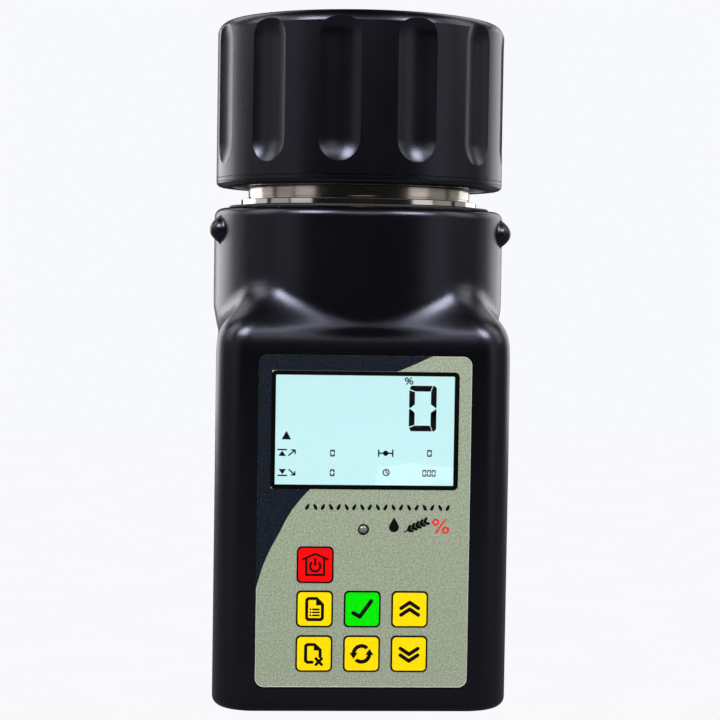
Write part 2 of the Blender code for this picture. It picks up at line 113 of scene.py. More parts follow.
def surface(name, dark, light, rough=(0.35, 0.5), metallic=0.0, scale=900.0, grain=None, grain_strength=0.2,
            grain_dist=0.00005, stretch=None, stops=(0.35, 0.65), spec=None, coat=None, tint=None, broad=45.0):
    """Two-tone surface with fine variation in colour, gloss and relief."""
    m, nt, b, co = nodes_of(name)
    n = noise(nt, co, scale, 3.0, 0.55, stretch)
    c = ramp(nt, n.outputs["Fac"], [(stops[0], dark), (stops[1], light)])
    nt.links.new(c.outputs["Color"], b.inputs["Base Color"])
    w = noise(nt, co, broad, 4.0, 0.6)
    r = to_range(nt, w.outputs["Fac"], rough[0], rough[1])
    nt.links.new(r.outputs["Result"], b.inputs["Roughness"])
    b.inputs["Metallic"].default_value = metallic
    if spec is not None:
        b.inputs["Specular IOR Level"].default_value = spec
    if tint is not None:
        b.inputs["Specular Tint"].default_value = (*tint, 1.0)
    if coat is not None:
        b.inputs["Coat Weight"].default_value = coat[0]
        b.inputs["Coat Roughness"].default_value = coat[1]
    if grain:
        g = noise(nt, co, grain, 2.0, 0.5, stretch)
        bump(nt, b, g.outputs["Fac"], grain_strength, grain_dist)
    return m


M = {}
M["housing"] = surface("housing_plastic", (0.0002, 0.0002, 0.0004), (0.0006, 0.0006, 0.0012), (0.25, 0.285),
                       scale=1500, grain=2300, grain_strength=0.36, grain_dist=0.00006, spec=0.44, tint=(0.74, 0.76, 1.0))
M["cap"] = surface("cap_plastic", (0.0002, 0.0002, 0.0004), (0.0006, 0.0006, 0.0012), (0.25, 0.285),
                   scale=1500, grain=2300, grain_strength=0.36, grain_dist=0.00006, spec=0.44, tint=(0.74, 0.76, 1.0))
M["inner"] = surface("inner_plastic", (0.012, 0.012, 0.014), (0.020, 0.020, 0.023), (0.45, 0.6), scale=700, grain=1500)
M["sage"] = surface("overlay_sage", (0.182, 0.216, 0.149), (0.327, 0.370, 0.268), (0.42, 0.5), scale=1900,
                    grain=2600, grain_strength=0.12, stops=(0.36, 0.64))
M["charcoal"] = surface("overlay_charcoal", (0.0018, 0.0032, 0.0068), (0.0120, 0.0172, 0.027), (0.42, 0.5), scale=1900,
                        grain=2600, grain_strength=0.12, stops=(0.36, 0.66), spec=0.08)
M["ink"] = surface("print_black", (0.0008, 0.0008, 0.0009), (0.0020, 0.0020, 0.0022), (0.5, 0.6), scale=900, spec=0.1)
M["ink_red"] = surface("print_red", (0.62, 0.008, 0.012), (0.78, 0.012, 0.016), (0.42, 0.5), scale=900, spec=0.15)
M["key_red"] = surface("key_face_red", (0.76, 0.0008, 0.0020), (0.86, 0.0015, 0.003), (0.42, 0.50), scale=900, grain=2500, grain_strength=0.08, spec=0.08)
M["key_yellow"] = surface("key_face_yellow", (0.82, 0.580, 0.0006), (0.90, 0.650, 0.0015), (0.42, 0.50), scale=900, grain=2500, grain_strength=0.08, spec=0.08)
M["key_green"] = surface("key_face_green", (0.0004, 0.63, 0.0004), (0.0012, 0.72, 0.0012), (0.42, 0.50), scale=900, grain=2500, grain_strength=0.08, spec=0.08)
M["key_side"] = surface("key_edge", (0.0010, 0.0010, 0.0011), (0.0024, 0.0024, 0.0026), (0.45, 0.55), scale=900, spec=0.08)
M["rubber"] = surface("gasket_rubber", (0.006, 0.006, 0.006), (0.012, 0.012, 0.012), (0.55, 0.7), scale=900, grain=1700)
M["nickel"] = surface("nickel_plate", (0.70, 0.665, 0.62), (0.78, 0.745, 0.70), (0.07, 0.14), metallic=1.0, scale=260,
                      grain=1400, grain_strength=0.03, stretch=(0.15, 0.15, 3.0))
# painted shade: a darker, browner copy of the nickel plate for the neck band under the cap lip, standing in for the
# shade there and the brown it reflects
M["neck"] = surface("neck_plate_painted_shade", (0.50, 0.445, 0.39), (0.60, 0.54, 0.48), (0.13, 0.22), metallic=1.0, scale=260,
                    grain=1400, grain_strength=0.05, stretch=(0.15, 0.15, 3.0))
M["nickel_in"] = surface("chamber_bore", (0.60, 0.59, 0.57), (0.72, 0.70, 0.68), (0.22, 0.34), metallic=1.0, scale=300,
                         grain=1500, grain_strength=0.12, stretch=(0.2, 0.2, 4.0))
M["steel"] = surface("brushed_steel", (0.44, 0.44, 0.45), (0.62, 0.62, 0.63), (0.22, 0.36), metallic=1.0, scale=500,
                     grain=1600, grain_strength=0.1)
M["spring"] = surface("spring_wire", (0.36, 0.36, 0.37), (0.52, 0.52, 0.53), (0.18, 0.3), metallic=1.0, scale=700)
M["brass"] = surface("brass", (0.62, 0.40, 0.13), (0.76, 0.53, 0.20), (0.2, 0.34), metallic=1.0, scale=500, grain=1500, grain_strength=0.08)
M["white"] = surface("white_insulator", (0.66, 0.65, 0.61), (0.76, 0.75, 0.71), (0.35, 0.5), scale=500, grain=1400, grain_strength=0.1)
M["board"] = surface("board_green", (0.006, 0.07, 0.02), (0.012, 0.12, 0.04), (0.25, 0.4), scale=260, stops=(0.45, 0.55))
# painted highlight: a pale colour for the strip along the film's edge, standing in for the light the edge catches
M["film_edge"] = surface("overlay_edge_painted_highlight", (0.50, 0.53, 0.48), (0.62, 0.65, 0.60), (0.35, 0.45), scale=900)
M["led"] = surface("led_lens", (0.115, 0.128, 0.108), (0.165, 0.183, 0.155), (0.2, 0.3), scale=500, coat=(0.4, 0.12))
M["batt"] = surface("battery_wrap", (0.010, 0.012, 0.018), (0.018, 0.02, 0.028), (0.22, 0.3), scale=500)
M["batt_band"] = surface("battery_band", (0.62, 0.32, 0.06), (0.72, 0.40, 0.09), (0.2, 0.3), metallic=0.6, scale=500)
M["wire_red"] = surface("wire_red", (0.42, 0.01, 0.01), (0.55, 0.02, 0.02), (0.35, 0.5), scale=500)
M["wire_black"] = surface("wire_black", (0.008, 0.008, 0.008), (0.014, 0.014, 0.014), (0.35, 0.5), scale=500)


def lcd_material():
    m, nt, b, co = nodes_of("lcd_backlit")
    w = nt.nodes.new("ShaderNodeTexChecker")
    w.inputs["Scale"].default_value = 2600.0
    w.inputs["Color1"].default_value = (0.575, 0.905, 0.935, 1)
    w.inputs["Color2"].default_value = (0.610, 0.925, 0.950, 1)
    nt.links.new(co.outputs["Object"], w.inputs["Vector"])
    b.inputs["Base Color"].default_value = (0.02, 0.05, 0.05, 1)
    nt.links.new(w.outputs["Color"], b.inputs["Emission Color"])
    b.inputs["Emission Strength"].default_value = 0.985
    b.inputs["Roughness"].default_value = 0.4
    return m


def window_material():
    m, nt, b, co = nodes_of("window_acrylic")
    n = noise(nt, co, 60.0)
    r = to_range(nt, n.outputs["Fac"], 0.0, 0.02)
    nt.links.new(r.outputs["Result"], b.inputs["Roughness"])
    b.inputs["Base Color"].default_value = (1, 1, 1, 1)
    b.inputs["Transmission Weight"].default_value = 1.0
    b.inputs["IOR"].default_value = 1.38
    return m


M["lcd"] = lcd_material()
M["window"] = window_material()
M["black_line"] = surface("window_surround", (0.0004, 0.0004, 0.0005), (0.0012, 0.0012, 0.0014), (0.5, 0.6), scale=900, spec=0.05)


# ------------------------------------------------------------------ mesh helpers
def mesh_object(name, verts, faces, mats, idx=None, angle=35.0, fix=False):
    me = bpy.data.meshes.new(name)
    me.from_pydata([tuple(float(c) for c in v) for v in verts], [], faces)
    for m in mats if isinstance(mats, (list, tuple)) else [mats]:
        me.materials.append(m)
    if idx is not None:
        me.polygons.foreach_set("material_index", idx)
    me.update()
    if fix:
        bm = bmesh.new()
        bm.from_mesh(me)
        bmesh.ops.recalc_face_normals(bm, faces=bm.faces)
        bm.to_mesh(me)
        bm.free()
    ob = bpy.data.objects.new(name, me)
    bpy.context.scene.collection.objects.link(ob)
    if angle:
        me.shade_smooth()
        me.set_sharp_from_angle(angle=math.radians(angle))
    return ob


def from_bm(name, bm, mats, angle=35.0, fix=False):
    if fix:
        bmesh.ops.recalc_face_normals(bm, faces=bm.faces)
    me = bpy.data.meshes.new(name)
    bm.to_mesh(me)
    bm.free()
    for m in mats if isinstance(mats, (list, tuple)) else [mats]:
        me.materials.append(m)
    ob = bpy.data.objects.new(name, me)
    bpy.context.scene.collection.objects.link(ob)
    if angle:
        me.shade_smooth()
        me.set_sharp_from_angle(angle=math.radians(angle))
    return ob


def grid(name, P, mats, caps=(False, False), ring=False, angle=35.0, row_mat=None):
    """P is rows x columns x 3 in mm; columns close on themselves."""
    P = np.asarray(P, float) * MM
    nr, nc = P.shape[:2]
    verts = P.reshape(-1, 3)
    faces, idx = [], []
    last = nr if ring else nr - 1
    for i in range(last):
        k = (i + 1) % nr
        for j in range(nc):
            l = (j + 1) % nc
            faces.append((i * nc + j, i * nc + l, k * nc + l, k * nc + j))
            idx.append(0 if row_mat is None else row_mat[i])
    if caps[0]:
        faces.append(tuple(reversed(range(nc))))
        idx.append(0)
    if caps[1]:
        faces.append(tuple(range((nr - 1) * nc, nr * nc)))
        idx.append(0)
    return mesh_object(name, verts, faces, mats, idx, angle, fix=True)


def fillet(profile, r=0.3, n=3, closed=True):
    """Rounds every corner of a (radius, height) outline that stands off the axis."""
    out = []
    N = len(profile)
    for i, p in enumerate(profile):
        if not closed and i in (0, N - 1):
            out.append(p)
            continue
        a, c = np.array(profile[i - 1], float), np.array(profile[(i + 1) % N], float)
        b = np.array(p, float)
        u, v = a - b, c - b
        lu, lv = np.linalg.norm(u), np.linalg.norm(v)
        if lu < 1e-6 or lv < 1e-6 or b[0] < 1e-6:
            out.append(p)
            continue
        u, v = u / lu, v / lv
        cosang = float(np.clip(u @ v, -1, 1))
        if cosang < -0.985:
            out.append(p)
            continue
        half = math.acos(cosang) / 2
        t = min(r / math.tan(half), 0.42 * lu, 0.42 * lv)
        for k in range(n + 1):
            s = k / n
            q = (1 - s) ** 2 * (b + u * t) + 2 * s * (1 - s) * b + s * s * (b + v * t)
            out.append((float(q[0]), float(q[1])))
    return out


def lathe(name, profile, mats, seg=96, closed=True, r=0.3, angle=35.0, turn=None, at=(0, 0, 0), n=3, raw=False):
    """Turned piece. turn is a rotation that takes +Z to the piece's axis."""
    prof = profile if raw else fillet(profile, r, n, closed)
    verts, rows = [], []
    for pr, pz in prof:
        if pr < 1e-6:
            rows.append([len(verts)])
            verts.append(Vector((0, 0, pz)))
        else:
            rows.append(list(range(len(verts), len(verts) + seg)))
            verts += [Vector((pr * math.cos(TAU * j / seg), pr * math.sin(TAU * j / seg), pz)) for j in range(seg)]
    faces = []
    pairs = list(zip(rows, rows[1:]))
    if closed:
        pairs.append((rows[-1], rows[0]))
    for a, b in pairs:
        for j in range(seg):
            l = (j + 1) % seg
            if len(a) == 1 and len(b) == 1:
                continue
            if len(a) == 1:
                faces.append((a[0], b[j], b[l]))
            elif len(b) == 1:
                faces.append((a[j], b[0], a[l]))
            else:
                faces.append((a[j], b[j], b[l], a[l]))
    T = Matrix.Translation(Vector(at)) @ (turn or Matrix())
    verts = [(T @ v) * MM for v in verts]
    return mesh_object(name, verts, faces, mats, None, angle, fix=True)


TO_FRONT = Matrix.Rotation(math.pi / 2, 4, "X")  # +Z to -Y
TO_DOWN = Matrix.Rotation(math.pi, 4, "X")


def rbox(name, lo, hi, mats, r=0.0, axis="Z", seg=6, edge=0.0, eseg=3, angle=35.0):
    bm = bmesh.new()
    c = [(a + b) / 2 * MM for a, b in zip(lo, hi)]
    s = [(b - a) * MM for a, b in zip(lo, hi)]
    bmesh.ops.create_cube(bm, size=1.0, matrix=Matrix.Translation(c) @ Matrix.Diagonal((*s, 1.0)))
    if r > 0:
        k = "XYZ".index(axis)
        es = [e for e in bm.edges if all(abs(e.verts[0].co[j] - e.verts[1].co[j]) < 1e-7 for j in range(3) if j != k)]
        bmesh.ops.bevel(bm, geom=es, offset=r * MM, segments=seg, profile=0.5, affect="EDGES", clamp_overlap=True)
    if edge > 0:
        es = [e for e in bm.edges if len(e.link_faces) == 2 and e.calc_face_angle() > math.radians(50)]
        bmesh.ops.bevel(bm, geom=es, offset=edge * MM, segments=eseg, profile=0.5, affect="EDGES", clamp_overlap=True)
    return from_bm(name, bm, mats, angle)


def tool_box(bm, lo, hi, r=0.0, axis="Z", seg=6):
    c = [(a + b) / 2 * MM for a, b in zip(lo, hi)]
    s = [(b - a) * MM for a, b in zip(lo, hi)]
    new = bmesh.ops.create_cube(bm, size=1.0, matrix=Matrix.Translation(c) @ Matrix.Diagonal((*s, 1.0)))["verts"]
    if r > 0:
        k = "XYZ".index(axis)
        es = [e for e in {e for v in new for e in v.link_edges}
              if all(abs(e.verts[0].co[j] - e.verts[1].co[j]) < 1e-7 for j in range(3) if j != k)]
        bmesh.ops.bevel(bm, geom=es, offset=r * MM, segments=seg, profile=0.5, affect="EDGES", clamp_overlap=True)


def tool_cyl(bm, c, r, length, axis="Z", seg=48, r2=None):
    turn = {"Z": Matrix(), "Y": Matrix.Rotation(math.pi / 2, 4, "X"), "X": Matrix.Rotation(math.pi / 2, 4, "Y")}[axis]
    bmesh.ops.create_cone(bm, cap_ends=True, segments=seg, radius1=r * MM, radius2=(r if r2 is None else r2) * MM,
                          depth=length * MM, matrix=Matrix.Translation(Vector(c) * MM) @ turn)


def cut(ob, bm, op="DIFFERENCE", self_ok=False, angle=35.0):
    """Applies one Boolean with the shapes in bm and leaves a plain mesh."""
    me = bpy.data.meshes.new("tool")
    bm.to_mesh(me)
    bm.free()
    t = bpy.data.objects.new("tool", me)
    bpy.context.scene.collection.objects.link(t)
    mod = ob.modifiers.new("cut", "BOOLEAN")
    mod.operation = op
    mod.solver = "EXACT"
    mod.object = t
    mod.use_self = self_ok
    dg = bpy.context.evaluated_depsgraph_get()
    new = bpy.data.meshes.new_from_object(ob.evaluated_get(dg))
    ob.modifiers.clear()
    old = ob.data
    ob.data = new
    bpy.data.meshes.remove(old)
    bpy.data.objects.remove(t)
    bpy.data.meshes.remove(me)
    if angle:
        new.shade_smooth()
        new.set_sharp_from_angle(angle=math.radians(angle))
    return ob


# flat prints: polygons in the x-z plane, all facing -Y
def capsule(p, q, w, n=6):
    (x0, z0), (x1, z1) = p, q
    a = math.atan2(z1 - z0, x1 - x0)
    pts = []
    for i in range(n + 1):
        t = a - math.pi / 2 + math.pi * i / n
        pts.append((x1 + w / 2 * math.cos(t), z1 + w / 2 * math.sin(t)))
    for i in range(n + 1):
        t = a + math.pi / 2 + math.pi * i / n
        pts.append((x0 + w / 2 * math.cos(t), z0 + w / 2 * math.sin(t)))
    return pts


def arc_band(cx, cz, r, w, a0, a1, n=24):
    out = []
    for i in range(n):
        t0, t1 = math.radians(a0 + (a1 - a0) * i / n), math.radians(a0 + (a1 - a0) * (i + 1) / n)
        ro, ri = r + w / 2, r - w / 2
        out.append([(cx + ro * math.cos(t0), cz + ro * math.sin(t0)), (cx + ro * math.cos(t1), cz + ro * math.sin(t1)),
                    (cx + ri * math.cos(t1), cz + ri * math.sin(t1)), (cx + ri * math.cos(t0), cz + ri * math.sin(t0))])
    return out


def path(pts, w, close=False):
    ends = list(zip(pts, pts[1:])) + ([(pts[-1], pts[0])] if close else [])
    return [capsule(p, q, w) for p, q in ends]


def disc(cx, cz, r, n=32, sx=1.0):
    return [(cx + sx * r * math.cos(TAU * i / n), cz + r * math.sin(TAU * i / n)) for i in range(n)]


def rrect(x0, z0, x1, z1, r, n=6):
    pts = []
    for cx, cz, a0 in ((x1 - r, z0 + r, -90), (x1 - r, z1 - r, 0), (x0 + r, z1 - r, 90), (x0 + r, z0 + r, 180)):
        for i in range(n + 1):
            a = math.radians(a0 + 90 * i / n)
            pts.append((cx + r * math.cos(a), cz + r * math.sin(a)))
    return pts


def area2(pts):
    return sum(a[0] * b[1] - b[0] * a[1] for a, b in zip(pts, pts[1:] + pts[:1]))


def prints(name, layers, mats):
    """layers: list of (polygons, y in mm, material index)."""
    verts, faces, idx = [], [], []
    eps = 0.0
    for polys, y, mi in layers:
        for pts in polys:
            pts = list(pts)
            if area2(pts) < 0:
                pts.reverse()
            k = len(verts)
            verts += [(x * MM, (y - eps) * MM, z * MM) for x, z in pts]
            faces.append(tuple(range(k, k + len(pts))))
            idx.append(mi)
            eps = (eps + 0.0007) % 0.009
    return mesh_object(name, verts, faces, mats, idx, 0)


def sheet2d(name, outlines, y0, y1, mat, bevel=0.0):
    """Flat sheet with holes, parallel to the display side."""
    cu = bpy.data.curves.new(name + "_c", "CURVE")
    cu.dimensions = "2D"
    cu.fill_mode = "BOTH"
    for pts in outlines:
        sp = cu.splines.new("POLY")
        sp.points.add(len(pts) - 1)
        for p, (x, z) in zip(sp.points, pts):
            p.co = (x * MM, z * MM, 0.0, 1.0)
        sp.use_cyclic_u = True
    cu.extrude = max((y1 - y0) / 2 - bevel, 0) * MM
    if bevel:
        cu.bevel_depth = bevel * MM
        cu.bevel_resolution = 2
        cu.offset = -bevel * MM
    tmp = bpy.data.objects.new(name + "_c", cu)
    bpy.context.scene.collection.objects.link(tmp)
    dg = bpy.context.evaluated_depsgraph_get()
    me = bpy.data.meshes.new_from_object(tmp.evaluated_get(dg))
    bpy.data.objects.remove(tmp)
    me.transform(Matrix.Translation((0, (y0 + y1) / 2 * MM, 0)) @ Matrix.Rotation(math.pi / 2, 4, "X"))
    bm = bmesh.new()
    bm.from_mesh(me)
    bmesh.ops.remove_doubles(bm, verts=bm.verts, dist=2e-6)
    bmesh.ops.recalc_face_normals(bm, faces=bm.faces)
    bm.to_mesh(me)
    bm.free()
    me.materials.clear()
    me.materials.append(mat)
    me.name = name
    ob = bpy.data.objects.new(name, me)
    bpy.context.scene.collection.objects.link(ob)
    me.shade_smooth()
    me.set_sharp_from_angle(angle=math.radians(30))
    return ob


def place(ob, body, slot, *nodes):
    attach(ob, body)
    if nodes:
        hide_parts(*nodes)
    return ob


# ------------------------------------------------------------------ housing
TUBE_R, HALF_W, HALF_D, CORNER_R = 44.7, 43.5, 45.6, 11.0
TOP_Z, SHOULDER_Z, SLOPE = 147.8, 112.6, 1.08
BUMP_AZ, BUMP_Z = 73.5, 141.0


def smooth_max(a, b, k):
    h = np.maximum(k - np.abs(a - b), 0.0) / k
    return np.maximum(a, b) + h * h * k / 4


def box_radius(ang, a, b, r):
    c, s = np.abs(np.cos(ang)), np.abs(np.sin(ang))
    px, py = a - r, b - r
    dot = c * px + s * py
    arc = dot + np.sqrt(np.maximum(dot * dot - (px * px + py * py - r * r), 0.0))
    out = np.where(c * b <= s * px, b / np.maximum(s, 1e-9), arc)
    return np.where(s * a <= c * py, a / np.maximum(c, 1e-9), out)


def inset_at(z):
    w = 2.1
    return SLOPE * w * np.logaddexp(0.0, (z - SHOULDER_Z) / w)


def step(t):
    t = np.clip(t, 0.0, 1.0)
    return t * t * (3 - 2 * t)


def tube_at(ang, z):
    flank = 1.2 * np.cos(ang) ** 4 * (1 - step((z - 110.0) / 9.0))
    return 39.5 + (TUBE_R - 39.5) * step((z - 105.0) / 8.0) - flank


def housing_r(ang, z, shrink):
    ins = inset_at(z) + shrink
    a, b = HALF_W - ins, HALF_D - ins
    r = np.maximum(CORNER_R - 0.5 * shrink, 6.0)
    tube = tube_at(ang, z) - shrink
    if min(a, b) < 22:
        return tube
    return smooth_max(box_radius(ang, a, b, r), tube, 2.6 + 5.6 * np.sin(2 * ang) ** 2)


def bump_r(ang, z, base):
    """Small moulded lug on each side: a spindle sunk in the wall, pointed above and below."""
    v = z - BUMP_Z
    half = 4.9 if v > 0 else 4.7
    if abs(v) > half + 0.8:
        return base
    rho = 4.0 * (1 - (v / half) ** 2) if abs(v) < half else 0.0
    for side in (-1, 1):
        phi = math.radians(-90 + BUMP_AZ * side)
        d = (ang - phi + math.pi) % TAU - math.pi
        cr = TUBE_R + 3.2 - 4.0
        q = rho * rho - (cr * np.sin(d)) ** 2
        lug = np.where((q > 0) & (np.abs(d) < 0.3), cr * np.cos(d) + np.sqrt(np.maximum(q, 0)), 0)
        base = np.where(np.abs(d) < 0.3, smooth_max(lug, base, 0.55), base)
    return base


ang = set(np.round(np.linspace(-math.pi, math.pi, 241)[:-1], 6))
for k in range(4):
    mid = math.radians((46.6, 133.4, -46.6, -133.4)[k])
    ang |= set(np.round(mid + np.radians(np.arange(-13, 13.01, 0.75)), 6))
for side in (-1, 1):
    ang |= set(np.round(math.radians(-90 + BUMP_AZ * side) + np.radians(np.arange(-7, 7.01, 0.25)), 6))
ang = np.array(sorted((a + math.pi) % TAU - math.pi for a in ang))
ang = ang[np.concatenate([[True], np.diff(ang) > 0.0025])]

rows = []
FOOT = 3.3
for t in np.linspace(90, 0, 10):
    a = math.radians(t)
    rows.append((FOOT * (1 - math.sin(a)), FOOT * (1 - math.cos(a))))
for z in (9, 20, 40, 60, 80, 95, 100, 103):
    rows.append((z, 0.0))
for z in np.arange(104.0, 125.0, 0.5):
    rows.append((float(z), 0.0))
for z in (126, 128, 130, 132):
    rows.append((z, 0.0))
for z in np.arange(134.0, 144.9, 0.3):
    rows.append((float(z), 0.0))
TOPR = 2.7
for t in np.linspace(0, 90, 13):
    a = math.radians(t)
    rows.append((TOP_Z - TOPR + TOPR * math.sin(a), TOPR * (1 - math.cos(a))))
P = []
for z, shrink in rows:
    if z > 128:
        r = np.full_like(ang, TUBE_R - shrink)
        if z < 147:
            rb = bump_r(ang, z, np.full_like(ang, TUBE_R))
            r = r + (rb - TUBE_R)
    else:
        r = housing_r(ang, z, shrink)
    P.append(np.stack([r * np.cos(ang), r * np.sin(ang), np.full_like(ang, z)], -1))
shell = grid("housing_shell", P, [M["housing"], M["inner"]], caps=(True, True), angle=0)

IN_W, IN_D = 41.0, 43.1
bm = bmesh.new()
tool_box(bm, (-IN_W, -IN_D, 3.2), (IN_W, IN_D, 104.5), r=8.5, seg=8)
cut(shell, bm, angle=0)
bm = bmesh.new()
tool_cyl(bm, (0, 0, 123.9), 39.8, 39.8, seg=96)
cut(shell, bm, angle=0)
bm = bmesh.new()
tool_cyl(bm, (0, 0, 145.8), 33.4, 8.0, seg=128)
tool_box(bm, (-38.2, -40.5, -1.0), (38.2, 40.5, 3.3), r=7.5, seg=8)
tool_box(bm, (-31.15, -47.0, 7.25), (31.15, -44.95, 104.85), r=2.75, axis="Y", seg=10)
tool_box(bm, (-15.7, 41.0, 11.9), (15.7, 47.0, 66.6), r=1.5, axis="Y", seg=6)
cut(shell, bm, angle=0)
KEYS = [("power", -13.9, 43.5), ("store", -13.9, 30.6), ("ok", 0.0, 30.6), ("up", 13.9, 30.6),
        ("delete", -13.9, 17.5), ("repeat", 0.0, 17.5), ("down", 13.9, 17.5)]
bm = bmesh.new()
tool_box(bm, (-27.2, -45.5, 65.7), (27.2, -42.0, 100.1), r=1.2, axis="Y")
for _, x, z in KEYS:
    tool_box(bm, (x - 5.5, -45.5, z - 5.5), (x + 5.5, -42.0, z + 5.5), r=1.5, axis="Y", seg=4)
tool_cyl(bm, (0, -43.75, 53.9), 1.8, 3.6, axis="Y", seg=32)
cut(shell, bm, angle=32)
place(shell, "housing", "housing_black", "main_housing")

# base cover with four screw wells and a shallow panel
cover = rbox("base_cover_plate", (-37.9, -40.2, 0.0), (37.9, 40.2, 2.9), [M["housing"]], r=7.3, seg=10, edge=0.35)
bm = bmesh.new()
tool_box(bm, (-24.0, -26.0, -1.0), (24.0, 26.0, 0.45), r=4.0, seg=8)
for sx in (-1, 1):
    for sy in (-1, 1):
        tool_cyl(bm, (sx * 32.6, sy * 34.6, 0.0), 3.3, 3.0, seg=48)
cut(cover, bm, angle=0)
bm = bmesh.new()
for sx in (-1, 1):
    for sy in (-1, 1):
        tool_cyl(bm, (sx * 32.6, sy * 34.6, 2.0), 1.75, 4.0, seg=32)
cut(cover, bm, angle=32)
place(cover, "housing", "housing_black", "base_cover")


def screw(name, at, turn, length, head_r, head_h, shank_r):
    """Pan head, local -Z is the head side; a cross recess and a plain shank."""
    prof = [(0, length), (shank_r * 0.55, length), (shank_r, length - 0.9), (shank_r, 0.0), (head_r - 0.15, 0.0),
            (head_r, -0.2 * head_h), (head_r * 0.93, -0.55 * head_h), (head_r * 0.7, -0.85 * head_h), (head_r * 0.35, -0.98 * head_h), (0, -head_h)]
    ob = lathe(name, prof, [M["steel"]], seg=48, closed=False, r=0.1, turn=None, angle=0)
    bm = bmesh.new()
    w = head_r * 0.17
    for k in (0, 1):
        a = (head_r * 0.58, w) if k == 0 else (w, head_r * 0.58)
        tool_box(bm, (-a[0], -a[1], -head_h - 0.5), (a[0], a[1], -0.28 * head_h))
    cut(ob, bm, self_ok=True, angle=30)
    ob.data.transform(Matrix.Translation(Vector(at) * MM) @ (turn or Matrix()))
    return ob


i = 0
for sx in (-1, 1):
    for sy in (-1, 1):
        i += 1
        s = screw(f"base_screw_{i}_steel", (sx * 32.6, sy * 34.6, 1.42), None, 8.7, 2.9, 1.25, 1.15)
        place(s, "housing", "steel", f"base_screw_{i}")

# ------------------------------------------------------------------ front overlay
WX, WZ0, WZ1 = 27.0, 65.9, 99.9
LX, LZ0, LZ1, LR = 31.0, 7.65, 104.6, 2.6
outl = [rrect(-LX, LZ0, LX, LZ1, LR, 8), rrect(-WX - 0.12, WZ0 - 0.12, WX + 0.12, WZ1 + 0.12, 1.1, 6)]
for _, x, z in KEYS:
    outl.append(rrect(x - 5.4, z - 5.4, x + 5.4, z + 5.4, 1.45, 5))
outl.append(disc(0, 53.9, 1.65, 32))
film = sheet2d("overlay_film", outl, -45.3, -45.0, M["sage"], bevel=0.0)
place(film, "housing", "overlay_film", "graphic_overlay")

# dark printed field: everything left of and above one flowing edge
edge_hi = [(19.2, 104.15), (14.6, 102.35), (9.8, 100.25)]
edge_lo = [(-16.3, 65.31), (-18.4, 62.7), (-20.69, 59.74), (-22.6, 56.6), (-24.26, 53.14), (-25.7, 50.5), (-27.0, 48.02),
           (-28.0, 45.8), (-28.78, 43.92), (-29.45, 42.1), (-29.89, 40.55), (-30.72, 37.77)]
m = 0.02  # the dark field runs to the film's edge
left = rrect(-LX + m, LZ0 + m, LX - m, LZ1 - m, LR - m, 8)
corner = [p for p in left if p[0] < 0 and p[1] > 90]
dark = [(19.2, LZ1 - m)] + edge_hi[1:] + [(8.8, WZ1 + 0.16), (-WX - 0.14, WZ1 + 0.16), (-WX - 0.14, WZ0 - 0.16), (-15.9, WZ0 - 0.16)] + edge_lo + corner[::-1]
# order: along the top edge, down the flowing edge, round the window, back up the left side
dark_poly = [(19.2, LZ1 - m)] + edge_hi[1:] + [(8.9, WZ1 + 0.16), (-WX - 0.14, WZ1 + 0.16), (-WX - 0.14, WZ0 - 0.16), (-15.6, WZ0 - 0.16)] + edge_lo[1:] + [(-LX + m, 36.9)]
corner_cw = sorted(corner, key=lambda p: (p[0] + p[1]))
dark_poly += corner_cw
right_strip = []
print_layers = [([dark_poly], -45.315, 0)]


def band_rect(x0, z0, x1, z1, r, w, n=6):
    a, b = rrect(x0, z0, x1, z1, r, n), rrect(x0 + w, z0 + w, x1 - w, z1 - w, max(r - w, 0.05), n)
    return [[a[i], a[(i + 1) % len(a)], b[(i + 1) % len(a)], b[i]] for i in range(len(a))]


# painted highlight: a pale strip printed along the film's edge round the light field, standing in for the light that
# edge catches
ring_out, ring_in = rrect(-LX, LZ0, LX, LZ1, LR, 8), rrect(-LX + 0.2, LZ0 + 0.2, LX - 0.2, LZ1 - 0.2, LR - 0.2, 8)
edge_highlight = []
for i in range(len(ring_out)):
    j = (i + 1) % len(ring_out)
    mx, mz = (ring_out[i][0] + ring_out[j][0]) / 2, (ring_out[i][1] + ring_out[j][1]) / 2
    if mx > 20 or (mz < 20 and mx > -31) or (mz < 36 and mx < -25):
        if mx < -30.9 and mz > 36:
            continue
        a_, b_, c_, d_ = ring_out[i], ring_out[j], ring_in[j], ring_in[i]
        if mz > 90 and a_[0] < 19.3 or mz > 90 and b_[0] < 19.3:
            continue
        edge_highlight.append([a_, b_, c_, d_])
# the long straight runs of the painted highlight strip on the rounded outline: left side below the dark field, and the
# top right piece
edge_highlight.append([(-LX, LZ0 + LR), (-LX + 0.2, LZ0 + LR), (-LX + 0.2, 36.6), (-LX, 36.6)])
edge_highlight.append([(19.6, LZ1 - 0.2), (LX - LR, LZ1 - 0.2), (LX - LR, LZ1), (19.6, LZ1)])
print_layers.append((edge_highlight, -45.322, 3))
# a row of grain kernels in place of a title, then a drop, an ear and a percent sign
kernels = []
for k in range(19):
    cx = -16.4 + k * (41.0 / 18.0)
    cz = 60.45
    t = math.radians(62 if k % 2 == 0 else 118)
    pts = []
    for j in range(20):
        u = TAU * j / 20
        ax, az_ = 0.98 * math.cos(u), 0.46 * math.sin(u) * (1 - 0.25 * math.cos(u))
        pts.append((cx + ax * math.cos(t) - az_ * math.sin(t), cz + ax * math.sin(t) + az_ * math.cos(t)))
    kernels.append(pts)
print_layers.append((kernels, -45.325, 1))


def drop(cx, z0, h):
    pts = []
    r = h * 0.33
    for j in range(25):
        u = math.radians(-210 + 240 * j / 24)
        pts.append((cx + r * math.cos(u), z0 + r + r * math.sin(u)))
    pts.append((cx, z0 + h))
    return pts


